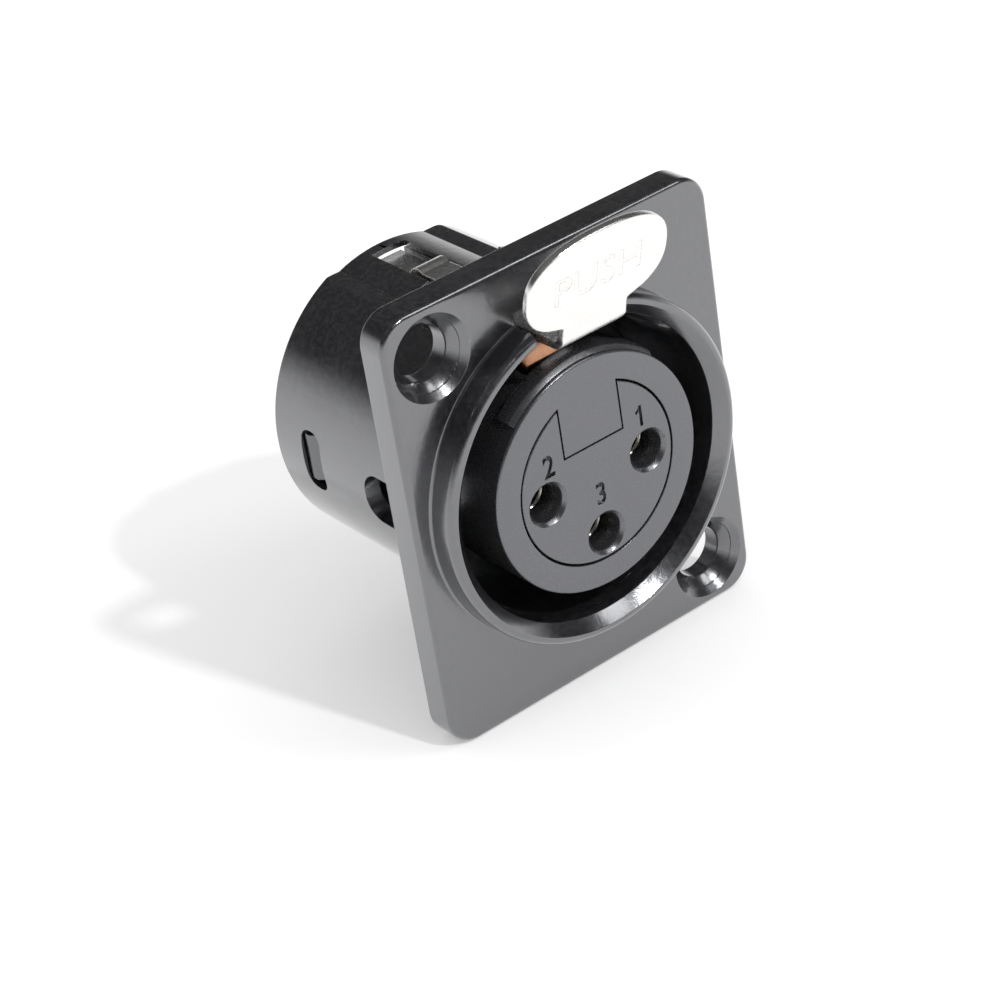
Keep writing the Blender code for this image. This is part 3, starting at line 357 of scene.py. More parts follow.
def lettering(
    text: str, height: float, depth: float, width: float, place: Matrix, stroke: float = 0.0
) -> Object:
    """Make letters a closed mesh that stands in the front face of a piece.

    Args:
        text: Digits or a plain word.
        height: Height of a capital or digit.
        depth: How far the letters reach to either side of the face.
        width: Width of the letters as a share of the usual width.
        place: Where the middle of the letters goes. The letters read along X, up along Z.
        stroke: How much every stroke is thickened.

    Returns:
        The letters as one object.
    """
    clear_selection()
    bpy.ops.object.text_add(rotation=(math.pi / 2.0, 0.0, 0.0))
    letters = bpy.context.object
    letters.data.body = text
    letters.data.align_x = "CENTER"
    letters.data.align_y = "CENTER"
    letters.data.extrude = 1.0
    letters.data.resolution_u = 4
    letters.data.offset = stroke
    bpy.ops.object.convert(target="MESH")
    bpy.ops.object.transform_apply(location=True, rotation=True, scale=True)
    begin_edit(letters)
    end_edit(letters)
    corners = [point.co for point in letters.data.vertices]
    low = Vector(min(point[axis] for point in corners) for axis in range(3))
    high = Vector(max(point[axis] for point in corners) for axis in range(3))
    middle = (low + high) / 2.0
    scale = height / (high.z - low.z)
    size = Matrix.Diagonal((scale * width, depth, scale, 1.0))
    letters.data.transform(place @ size @ Matrix.Translation(-middle))
    return letters


class Tree:
    """Node tree of a finish or of the studio, with short ways to add to it."""

    def __init__(self, tree: NodeTree) -> None:
        """Work on one node tree."""
        self.tree = tree

    def feed(self, node: Node, inputs: dict) -> Node:
        """Link a socket to each named input, or set its value, and return the node."""
        for name, value in inputs.items():
            if isinstance(value, NodeSocket):
                self.tree.links.new(value, node.inputs[name])
            else:
                node.inputs[name].default_value = value
        return node

    def add(self, kind: str, inputs: dict, **settings: object) -> Node:
        """Add a node.

        Args:
            kind: Type of the node.
            inputs: A socket to link or a value to set, for each input's name or number.
            settings: Other properties of the node.

        Returns:
            The new node.
        """
        node = self.tree.nodes.new(kind)
        for name, value in settings.items():
            setattr(node, name, value)
        return self.feed(node, inputs)

    def math(self, kind: str, first: NodeSocket, second: NodeSocket | float) -> NodeSocket:
        """Result of one operation on two values."""
        return self.add("ShaderNodeMath", {0: first, 1: second}, operation=kind).outputs["Value"]

    def largest(self, first: NodeSocket, *others: NodeSocket) -> NodeSocket:
        """Largest of several values."""
        for other in others:
            first = self.math("MAXIMUM", first, other)
        return first

    def spread(
        self,
        source: NodeSocket,
        low: float,
        high: float,
        first: float = 0.0,
        last: float = 1.0,
    ) -> NodeSocket:
        """Map a range of values to another one, clamped.

        Args:
            source: Value to map.
            low: Value that gives first.
            high: Value that gives last.
            first: Result at low.
            last: Result at high.

        Returns:
            The mapped value.
        """
        ends = {"From Min": low, "From Max": high, "To Min": first, "To Max": last}
        return self.add("ShaderNodeMapRange", {"Value": source, **ends}).outputs["Result"]


class Finish(Tree):
    """Node tree of one procedural finish, built on a Principled BSDF."""

    full_edge = 0.90
    flat_edge = 0.995

    def __init__(self, name: str, metallic: float, gloss: float = 1.5, coat: float = 0.0) -> None:
        """Start a material.

        Args:
            name: Name of the material.
            metallic: 1 for bare metal, 0 for paint and plastic.
            gloss: Index of refraction, which sets how much the surface mirrors.
            coat: Weight of the clear top layer.
        """
        self.material = bpy.data.materials.new(name)
        self.material.use_nodes = True
        super().__init__(self.material.node_tree)
        self.shader = self.tree.nodes["Principled BSDF"]
        self.feed(self.shader, {"Metallic": metallic, "IOR": gloss, "Coat Weight": coat})
        self.place = self.tree.nodes.new("ShaderNodeTexCoord").outputs["Object"]

    def noise(
        self, scale: float, detail: float, stretch: Sequence[float] = (1.0, 1.0, 1.0)
    ) -> NodeSocket:
        """Noise on object coordinates, with so many features per metre and finer levels."""
        place = self.add("ShaderNodeMapping", {"Vector": self.place, "Scale": stretch})
        inputs = {"Vector": place.outputs["Vector"], "Scale": scale, "Detail": detail}
        return self.add("ShaderNodeTexNoise", inputs).outputs["Fac"]

    def spots(self, scale: float, detail: float, low: float, high: float) -> NodeSocket:
        """Noise that rises from 0 where it is low to 1 where it is high."""
        return self.spread(self.noise(scale, detail), low, high)

    def blend(self, share: NodeSocket, first: NodeSocket | Color, second: Color) -> NodeSocket:
        """Mix two colours. The share is how much of the second one shows."""
        base = first if isinstance(first, NodeSocket) else (*first, 1.0)
        inputs = {"Factor": share, 6: base, 7: (*second, 1.0)}
        return self.add("ShaderNodeMix", inputs, data_type="RGBA").outputs[2]

    def clouded(self, cloud: NodeSocket, color: Color, change: float) -> NodeSocket:
        """Colour that is lighter or darker by a factor where the cloud is."""
        return self.blend(cloud, color, tuple(change * value for value in color))

    def edges(self, radius: float) -> tuple[NodeSocket, NodeSocket]:
        """Rounded normal at sharp edges, and how strongly each point lies on an edge.

        Args:
            radius: Radius of the rounding that the shading shows.

        Returns:
            The rounded normal, and a mask that is 1 along edges.
        """
        normal = self.add("ShaderNodeBevel", {"Radius": radius}, samples=6).outputs["Normal"]
        flat = self.add("ShaderNodeNewGeometry", {}).outputs["Normal"]
        turn = self.add("ShaderNodeVectorMath", {0: normal, 1: flat}, operation="DOT_PRODUCT")
        return normal, self.spread(turn.outputs["Value"], self.flat_edge, self.full_edge)

    def grain(
        self, height: NodeSocket, depth: float, strength: float, normal: NodeSocket
    ) -> NodeSocket:
        """Bump from a height value.

        Args:
            height: Height between 0 and 1.
            depth: Depth of the relief in metres.
            strength: Strength of the bump.
            normal: Normal that the bump is laid on.

        Returns:
            The bumped normal.
        """
        relief = {"Height": height, "Distance": depth, "Strength": strength, "Normal": normal}
        return self.add("ShaderNodeBump", relief).outputs["Normal"]

    def paint(self, color: NodeSocket, roughness: NodeSocket, normal: NodeSocket) -> Material:
        """Join the colour, roughness and normal to the shader."""
        self.feed(self.shader, {"Base Color": color, "Roughness": roughness, "Normal": normal})
        return self.material


@dataclass(frozen=True)
class BlackFinish:
    """What the black paint and the black moulding share.

    Spots are given as features per metre, detail, and the noise where they begin and are full.
    """

    name: str
    color: Color
    # Lighter colour along the edges: a painted edge highlight.
    edge: Color
    # Colour of the painted highlights: bright dots laid along the edges.
    glint_color: Color
    roughness: tuple[float, float]
    edge_radius: float
    glint_spots: Spots
    coat: float = 0.0
    gloss: float = 2.4
    tint: tuple[float, float, float, float] = (0.94, 0.95, 1.0, 1.0)

    def start(self) -> tuple[Finish, NodeSocket, NodeSocket]:
        """Start the material, and return it with its rounded normal and its edge mask."""
        finish = Finish(self.name, metallic=0.0, gloss=self.gloss, coat=self.coat)
        finish.feed(finish.shader, {"Specular Tint": self.tint})
        return (finish, *finish.edges(self.edge_radius))

    def paint_glints(self, finish: Finish, edge: NodeSocket, base: NodeSocket) -> NodeSocket:
        """Lay painted highlights along the edges, as bright dots of colour."""
        share = finish.math("MULTIPLY", edge, finish.spots(*self.glint_spots))
        return finish.blend(share, base, self.glint_color)


@dataclass(frozen=True)
class GlossPaint(BlackFinish):
    """Gloss black paint on the die casting: orange peel, fine specks, and painted highlights along
    the edges, a faint lighter band and bright dots.
    """

    name: str = "socket_gloss_paint"
    color: Color = (0.006, 0.006, 0.007)
    # Lighter colour along the edges: a faint painted edge highlight.
    edge: Color = (0.030, 0.030, 0.031)
    # Colour of the painted highlight dots along the paint's edges.
    glint_color: Color = (0.45, 0.45, 0.46)
    roughness: tuple[float, float] = (0.17, 0.27)
    edge_radius: float = 0.00007
    glint_spots: Spots = (5200.0, 1.0, 0.60, 0.68)
    coat: float = 1.0
    coat_roughness: float = 0.10
    cloud: tuple[float, float] = (260.0, 3.0)
    cloud_change: float = 1.5
    peel: tuple[float, float] = (1500.0, 1.0)
    speck: tuple[float, float] = (9000.0, 1.0)
    dust_range: tuple[float, float] = (0.66, 0.74)
    # Noise that breaks up the painted edge highlight along the edges.
    edge_highlight_spots: Spots = (900.0, 3.0, 0.45, 0.70)
    mottle: Color = (0.024, 0.024, 0.026)
    mottling: Spots = (3000.0, 2.0, 0.42, 0.66)
    dust: Color = (0.16, 0.16, 0.16)
    dust_share: float = 0.25
    peel_depth: float = 0.00002
    peel_strength: float = 0.50
    speck_depth: float = 0.000007
    speck_strength: float = 0.75

    def material(self) -> Material:
        """Build the node tree and return its material."""
        finish, normal, edge = self.start()
        finish.feed(finish.shader, {"Coat Roughness": self.coat_roughness})
        cloud, peel, speck = (finish.noise(*n) for n in (self.cloud, self.peel, self.speck))
        # Painted edge highlight: a faint lighter band along the sharp edges, broken up by noise.
        edge_highlight = finish.math("MULTIPLY", edge, finish.spots(*self.edge_highlight_spots))
        dusty = finish.math("MULTIPLY", finish.spread(speck, *self.dust_range), self.dust_share)
        base = finish.clouded(cloud, self.color, self.cloud_change)
        base = finish.blend(finish.spots(*self.mottling), base, self.mottle)
        base = finish.blend(edge_highlight, base, self.edge)
        # Painted highlights: bright dots of colour along the sharp edges.
        base = self.paint_glints(finish, edge, finish.blend(dusty, base, self.dust))
        bump = finish.grain(peel, self.peel_depth, self.peel_strength, normal)
        bump = finish.grain(speck, self.speck_depth, self.speck_strength, bump)
        return finish.paint(base, finish.spread(cloud, *NOISE_RANGE, *self.roughness), bump)


@dataclass(frozen=True)
class FineMoulding(BlackFinish):
    """Matte black moulding with a fine electro-eroded grain, and painted highlights along its
    edges: a lighter rim and bright dots.
    """

    name: str = "socket_black_moulding"
    color: Color = (0.022, 0.022, 0.024)
    # Lighter colour along the rim and edges: a painted edge highlight.
    edge: Color = (0.060, 0.060, 0.063)
    # Colour of the painted highlight dots along the moulding's edges.
    glint_color: Color = (0.34, 0.34, 0.34)
    roughness: tuple[float, float] = (0.24, 0.34)
    edge_radius: float = 0.00008
    glint_spots: Spots = (6000.0, 1.0, 0.64, 0.70)
    cloud: tuple[float, float] = (400.0, 3.0)
    cloud_change: float = 1.3
    grain: tuple[float, float] = (11000.0, 2.0)
    # Noise and share of the painted highlight along the moulding's edges.
    rim_highlight_spots: Spots = (1500.0, 2.0, 0.35, 0.65)
    rim_highlight_share: float = 0.6
    grain_depth: float = 0.000010
    grain_strength: float = 0.5

    def material(self) -> Material:
        """Build the node tree and return its material."""
        finish, normal, edge = self.start()
        grain = finish.noise(*self.grain)
        # Painted rim highlight: the edges made lighter where the noise is high.
        rim_highlight = finish.math("MULTIPLY", edge, finish.spots(*self.rim_highlight_spots))
        base = finish.clouded(finish.noise(*self.cloud), self.color, self.cloud_change)
        base = finish.blend(finish.math("MULTIPLY", rim_highlight, self.rim_highlight_share), base, self.edge)
        bump = finish.grain(grain, self.grain_depth, self.grain_strength, normal)
        rough = finish.spread(grain, *NOISE_RANGE, *self.roughness)
        # Painted highlights: bright dots of colour along the sharp edges.
        return finish.paint(self.paint_glints(finish, edge, base), rough, bump)


@dataclass(frozen=True)
class BrightPlate:
    """Bright plated sheet metal with fine rub marks and warm edges."""

    name: str
    color: Color
    edge: Color
    roughness: tuple[float, float]
    stretch: tuple[float, float, float] = (1.0, 1.0, 1.0)
    marks: float = 0.3
    mark_depth: float = 0.000008
    lines: tuple[float, float] = (2600.0, 3.0)
    cloud: tuple[float, float] = (350.0, 3.0)
    cloud_change: float = 0.88
    edge_radius: float = 0.00008
    edge_share: float = 0.55

    def material(self) -> Material:
        """Build the node tree and return its material."""
        finish = Finish(self.name, metallic=1.0)
        normal, edge = finish.edges(self.edge_radius)
        lines = finish.noise(*self.lines, self.stretch)
        base = finish.clouded(finish.noise(*self.cloud), self.color, self.cloud_change)
        base = finish.blend(finish.math("MULTIPLY", edge, self.edge_share), base, self.edge)
        rough = finish.spread(lines, *NOISE_RANGE, *self.roughness)
        return finish.paint(base, rough, finish.grain(lines, self.mark_depth, self.marks, normal))


FINISHES = {
    "black_paint": GlossPaint(),
    "black_plastic": FineMoulding(),
    "nickel": BrightPlate(
        name="socket_bright_nickel",
        color=(0.985, 0.975, 0.955),
        edge=(0.86, 0.76, 0.66),
        roughness=(0.20, 0.34),
        marks=0.12,
        edge_radius=0.00016,
    ),
    "copper_strip": BrightPlate(
        name="socket_copper_strip",
        color=(0.76, 0.40, 0.25),
        edge=(0.62, 0.34, 0.22),
        roughness=(0.26, 0.42),
        stretch=(6.0, 1.0, 1.0),
    ),
    "contact_plating": BrightPlate(
        name="socket_contact_plating",
        color=(0.60, 0.57, 0.50),
        edge=(0.60, 0.51, 0.38),
        roughness=(0.22, 0.38),
        stretch=(1.0, 9.0, 1.0),
    ),
    "steel": BrightPlate(
        name="socket_drawn_steel",
        color=(0.58, 0.58, 0.59),
        edge=(0.44, 0.44, 0.45),
        roughness=(0.24, 0.40),
    ),
}


class DressedPiece:
    """Finer piece that stands for one node of the frame and moves with a body."""

    node: str
    slot: str
    body = Body.SOCKET

    def shape(self) -> Object:
        """Model the finished mesh, with its place in the mesh."""
        raise NotImplementedError

    def build(self, materials: dict[str, Material]) -> None:
        """Model the piece, shade it, give it its finish and hang it on the frame.

        Args:
            materials: Material of each slot of the record.
        """
        piece = self.shape()
        pick(piece)
        bpy.ops.object.shade_smooth_by_angle(angle=SMOOTH_ANGLE)
        even = piece.modifiers.new("even", "WEIGHTED_NORMAL")
        even.mode = "FACE_AREA"
        even.weight = 50
        even.keep_sharp = True
        bpy.ops.object.modifier_apply(modifier=even.name)
        piece.name = f"{self.node}_dressed"
        piece.data.materials.clear()
        piece.data.materials.append(materials[self.slot])
        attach(piece, self.body.value)
        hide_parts(self.node)
        LOG.info("%s: %d faces on %s", piece.name, len(piece.data.polygons), self.body.value)


@dataclass(frozen=True)
class SharedSizes:
    """Places that several pieces of the socket meet at."""

    flange_front: float = -0.0023
    front: float = -0.0043
    bore: float = 0.00962
    seat: float = 0.00985
    seat_start: float = 0.01125
    barrel_end: float = 0.0162
    pivot_y: float = 0.0056
    pivot_z: float = 0.01055
    pin: float = 0.00050
    pin_hole: float = 0.00053
    tongue_bottom: float = 0.01045
    tongue_top: float = 0.01100
    slot_top: float = 0.0122368


SIZES = SharedSizes()
CONTACT_PLACES: dict[str, Point] = {
    "contact_1": (0.00417, -0.00027),
    "contact_2": (-0.00417, -0.00027),
    "contact_3": (0.0, -0.00445),
}


@dataclass
class Shell(DressedPiece):
    """Painted die casting: flange, collar, barrel, cheeks and openings."""

    node: str = "shell"
    slot: str = "black_paint"
    width: float = 0.0260
    height: float = 0.0310
    corner: float = 0.0021
    front_edge: float = 0.00035
    rear_edge: float = 0.00012
    hole_x: float = 0.0095
    hole_z: float = 0.0120
    hole: float = 0.0018
    countersink: float = 0.0029
    countersink_depth: float = 0.0011
    countersink_rim: float = 0.00003
    hole_round: float = 0.00008
    hole_round_start: float = 0.00007
    hole_round_middle: float = 0.00002
    terrace: float = 0.00243
    terrace_depth: float = 0.00042
    terrace_step: float = 0.00007
    collar: float = 0.01175
    collar_edge: float = 0.0005
    collar_foot: float = 0.01205
    foot_fillet: float = 0.00025
    foot_lift: float = 0.00001
    collar_draft: float = 0.00003
    hair_round: float = 0.00005
    taper_round: float = 0.00050
    throat_round: float = 0.00015
    rear_round: float = 0.00022
    rear_inner_round: float = 0.00008
    lip: float = 0.01115
    mouth_depth: float = 0.00080
    throat: float = 0.01038
    taper_end: float = 0.0030
    barrel: float = 0.01085
    barrel_rear: float = 0.01075
    relief_start: float = 0.0015
    relief_half: float = 0.0049
    relief_z: float = 0.00962
    crown: float = 0.01025
    crown_half: float = 0.0035
    cheek_inner: float = 0.0029
    cheek_outer: float = 0.0038
    cheek_length: float = 0.0026
    cheek_top: float = 0.0119
    cheek_root: float = 0.0090
    cheek_round: float = 0.00015
    gap_half: float = 0.00315
    channel_half: float = 0.0029
    window_half: float = 0.00135
    window_narrows: float = 0.0076
    window_narrow: float = 0.0082
    window_end: float = 0.0153
    side_window_low: Point = (0.0015, -0.0020)
    side_window_high: Point = (0.0062, 0.0015)
    side_window_front: float = 0.00035
    side_window_rear: float = 0.0014
    snap_window_low: Point = (0.0110, -0.0022)
    snap_window_high: Point = (0.0131, 0.0022)
    snap_window_round: float = 0.0009

    def flange(self) -> Object:
        """Plate with round corners and soft edges, open where the barrel passes."""
        clear_selection()
        bpy.ops.mesh.primitive_cube_add(size=1.0, location=(0.0, SIZES.flange_front / 2.0, 0.0))
        plate = bpy.context.object
        plate.scale = (self.width, -SIZES.flange_front, self.height)
        bpy.ops.object.transform_apply(location=True, rotation=True, scale=True)
        middle = SIZES.flange_front / 2.0
        soften_edges(plate, lambda a, b: abs(a.y - b.y) > WELD, self.corner, 12)
        soften_edges(plate, lambda a, b: max(a.y, b.y) < middle, self.front_edge, 5)
        soften_edges(plate, lambda a, b: min(a.y, b.y) > -WELD, self.rear_edge, 2)
        inside = (SIZES.bore + self.barrel) / 2.0
        passage = [(inside, SIZES.flange_front - OVERSHOOT), (inside, OVERSHOOT)]
        cut(plate, lathe("passage", passage, LARGE_STEPS))
        return plate

    def turned_body(self) -> Object:
        """Collar and barrel with the plug's bore and the insert's seat."""
        root = SIZES.flange_front / 2.0
        foot = SIZES.flange_front + self.foot_lift
        profile = rounded([
            (self.lip, SIZES.front, self.hair_round),
            (self.collar, SIZES.front, self.collar_edge),
            (self.collar + self.collar_draft, foot, self.foot_fillet),
            (self.collar_foot + self.foot_fillet, foot, 0.0),
            (self.collar_foot + self.foot_fillet, root, 0.0),
            (self.barrel, root, 0.0),
            (self.barrel, 0.0, 0.0),
            (self.barrel_rear, SIZES.barrel_end, self.rear_round),
            (SIZES.seat, SIZES.barrel_end, self.rear_inner_round),
            (SIZES.seat, SIZES.seat_start, 0.0),
            (SIZES.bore, SIZES.seat_start, self.hair_round),
            (SIZES.bore, self.taper_end, self.taper_round),
            (self.throat, SIZES.front + self.mouth_depth, self.throat_round),
        ])
        return lathe("shell_body", profile, LARGE_STEPS, solid=False)

    def relief(self) -> Object:
        """What the stepped top leaves off the barrel."""
        spread = math.degrees(math.acos(self.crown_half / self.crown))
        top = self.barrel + OVERSHOOT
        outline = [
            (-self.relief_half, top),
            (-self.relief_half, self.relief_z),
            (-self.crown_half, self.relief_z),
            *arc((0.0, 0.0), self.crown, 180.0 - spread, spread, 24),
            (self.crown_half, self.relief_z),
            (self.relief_half, self.relief_z),
            (self.relief_half, top),
        ]
        end = SIZES.barrel_end + OVERSHOOT
        return prism("relief", outline, View.FRONT, self.relief_start, end)

    def cheek(self, side: float) -> Object:
        """One of the two cheeks that hold the lever's pin."""
        inner = math.degrees(math.acos(self.cheek_inner / self.cheek_top))
        outer = math.degrees(math.acos(self.cheek_outer / self.cheek_top))
        root = (SIZES.bore + self.cheek_root) / 2.0
        top = arc((0.0, 0.0), self.cheek_top, outer, inner, 6)
        outline = [(self.cheek_inner, root), (self.cheek_outer, root), *top]
        half = self.cheek_length / 2.0
        turned = [(side * x, z) for x, z in outline]
        cheek = prism("cheek", turned, View.FRONT, SIZES.pivot_y - half, SIZES.pivot_y + half)
        low = root + self.cheek_length / 2.0
        soften_edges(
            cheek, lambda a, b: min(a.z, b.z) > low and abs(a.y - b.y) < WELD, self.cheek_round, 3
        )
        return cheek

    def latch_window(self) -> Object:
        """Gap in the collar, slot in the flange and window in the barrel."""
        half = [
            (self.gap_half, SIZES.front - OVERSHOOT),
            (self.gap_half, 0.0),
            (self.channel_half, 0.0),
            (self.channel_half, self.window_narrows),
            (self.window_half, self.window_narrow),
            (self.window_half, self.window_end),
        ]
        floor = SIZES.bore - 2.0 * OVERSHOOT
        return prism("latch_window", mirrored(half), View.PLAN, floor, SIZES.slot_top)

    def screw_hole(self, x: float, z: float) -> Object:
        """Screw hole with its countersink in two terraces and a soft inner edge."""
        start = SIZES.flange_front
        end = start + self.countersink_depth
        rim = self.countersink + self.countersink_rim
        profile = [
            (rim, start - OVERSHOOT),
            (rim, start - self.countersink_rim),
            (self.terrace, start + self.terrace_depth),
            (self.terrace, start + self.terrace_depth + self.terrace_step),
            (self.hole + self.hole_round_start, end - self.hole_round),
            (self.hole + self.hole_round_middle, end),
            (self.hole, end + self.hole_round),
            (self.hole, OVERSHOOT),
        ]
        return lathe("screw_hole", profile, SMALL_STEPS, x, z)

    def side_openings(self) -> tuple[Object, Object]:
        """Long windows behind the flange and windows for the snap lugs, through both sides."""
        low, high = self.side_window_low, self.side_window_high
        front, rear = self.side_window_front, self.side_window_rear
        corners = [
            (low[0], low[1], front),
            (high[0], low[1], rear),
            (high[0], high[1], rear),
            (low[0], high[1], front),
        ]
        snap = rectangle(self.snap_window_low, self.snap_window_high, self.snap_window_round)
        reach = self.barrel + OVERSHOOT
        long_windows = prism("side_windows", rounded(corners, 10), View.SIDE, -reach, reach)
        return long_windows, prism("snap_windows", snap, View.SIDE, -reach, reach)

    def shape(self) -> Object:
        """Model the whole casting."""
        shell = self.turned_body()
        join(shell, self.flange())
        cut(shell, self.relief())
        join(shell, self.cheek(1.0), self.cheek(-1.0))
        pin_holes = pivot_rod("pin_holes", SIZES.pin_hole, self.barrel)
        cut(shell, self.latch_window(), pin_holes, *self.side_openings())
        for side in (-1.0, 1.0):
            cut(shell, self.screw_hole(side * self.hole_x, -side * self.hole_z))
        return shell


@dataclass
class InsertSleeve(DressedPiece):
    """Black sleeve with the key, the plug's rib, the strip's groove and the spring's pocket."""

    node: str = "insert_sleeve"
    slot: str = "black_plastic"
    radius: float = 0.00815
    front_edge: float = 0.00020
    inner_edge: float = 0.00005
    small_edge: float = 0.00008
    rear_edge: float = 0.00015
    bore: float = 0.00695
    front_bore: float = 0.00627
    web: float = 0.0020
    end: float = 0.0156
    flange: float = 0.00970
    flange_start: float = 0.0114
    key_half: float = 0.00235
    key_bottom: float = 0.00227
    rib: float = 0.00845
    rib_lead: float = 0.00778
    rib_lead_length: float = 0.0006
    rib_length: float = 0.0018
    rib_half_angle: float = 43.5
    rib_lead_round: Point = (0.00012, 0.00004)
    rib_crest_round: Point = (0.00008, 0.00010)
    lug_half: float = 0.0017
    lug_ramp: float = 0.0010
    lug_length: float = 0.0015
    lug_reach: float = 0.01045
    groove_floor: float = 0.00725
    groove_left: float = -0.00275
    groove_right: float = 0.0002
    groove_arm: float = -0.00145
    groove_gap: float = 0.0002
    groove_shoulder: float = 0.00295
    pocket_floor: float = 0.007744
    pocket_left: float = -0.00155
    pocket_right: float = 0.0014
    pocket_start: float = 0.0110
    spring_y: float = 0.0139
    spring_well: float = 0.0012
    spring_floor: float = 0.0050

    def sleeve(self) -> Object:
        """Turned sleeve with its front web and rear flange."""
        profile = rounded([
            (self.front_bore, SIZES.front, self.inner_edge),
            (self.radius, SIZES.front, self.front_edge),
            (self.radius, self.flange_start, 0.0),
            (self.flange, self.flange_start, self.small_edge),
            (self.flange, self.end, self.rear_edge),
            (self.bore, self.end, self.small_edge),
            (self.bore, SIZES.front + self.web, 0.0),
            (self.front_bore, SIZES.front + self.web, 0.0),
        ])
        return lathe("sleeve", profile, LARGE_STEPS, solid=False)

    def plug_rib(self) -> Object:
        """Raised part of the rim that the plug's keyway slides over."""
        root = (self.bore + self.radius) / 2.0
        end = SIZES.front + self.rib_length
        crest = SIZES.front + self.rib_lead_length
        profile = [
            (root, SIZES.front),
            (self.rib_lead, SIZES.front),
            (self.rib_lead + self.rib_lead_round[0], SIZES.front + self.rib_lead_round[1]),
            (self.rib - self.rib_crest_round[0], crest - self.rib_crest_round[1]),
            (self.rib, crest + self.rib_lead_round[1]),
            (self.rib, end),
            (root, end),
        ]
        rib = lathe("rib", profile, LARGE_STEPS, solid=False)
        reach = 2.0 * self.rib
        spread = reach * math.tan(math.radians(self.rib_half_angle))
        sector = [(0.0, 0.0), (spread, reach), (-spread, reach)]
        tool = prism("sector", sector, View.FRONT, SIZES.front - OVERSHOOT, end + OVERSHOOT)
        keep(rib, tool)
        return rib

    def snap_lug(self, side: float) -> Object:
        """Ramped lug that holds the sleeve in the barrel."""
        start = self.flange_start
        root = self.flange - OVERSHOOT
        outline = [
            (root, start),
            (self.flange, start),
            (self.lug_reach, start + self.lug_ramp),
            (self.lug_reach, start + self.lug_length),
            (root, start + self.lug_length),
        ]
        turned = [(side * x, y) for x, y in outline]
        return prism("snap_lug", turned, View.PLAN, -self.lug_half, self.lug_half)

    def strip_groove(self) -> Object:
        """Groove that the ground strip lies in."""
        start = SIZES.front + self.rib_length + self.groove_gap
        end = self.end + OVERSHOOT
        outline = [
            (self.groove_left, start),
            (self.groove_right, start),
            (self.groove_right, self.groove_shoulder),
            (self.groove_arm, self.groove_shoulder),
            (self.groove_arm, end),
            (self.groove_left, end),
        ]
        return prism("strip_groove", outline, View.PLAN, self.groove_floor, self.flange + OVERSHOOT)

    def shape(self) -> Object:
        """Model the sleeve with its key, lugs, groove, pockets and rib."""
        sleeve = self.sleeve()
        key_top = (self.bore + self.groove_floor) / 2.0
        key = block(
            "block_key",
            (-self.key_half, SIZES.front, self.key_bottom),
            (self.key_half, self.end, key_top),
        )
        join(sleeve, key, self.snap_lug(1.0), self.snap_lug(-1.0))
        top = self.flange + OVERSHOOT
        pocket = block(
            "tail_pocket",
            (self.pocket_left, self.pocket_start, self.pocket_floor),
            (self.pocket_right, self.end + OVERSHOOT, top),
        )
        circle = arc((0.0, self.spring_y), self.spring_well, 0.0, 360.0, SMALL_STEPS)[:-1]
        well = prism("spring_well", circle, View.PLAN, self.spring_floor, top)
        cut(sleeve, self.strip_groove(), pocket, well)
        join(sleeve, self.plug_rib())
        return sleeve


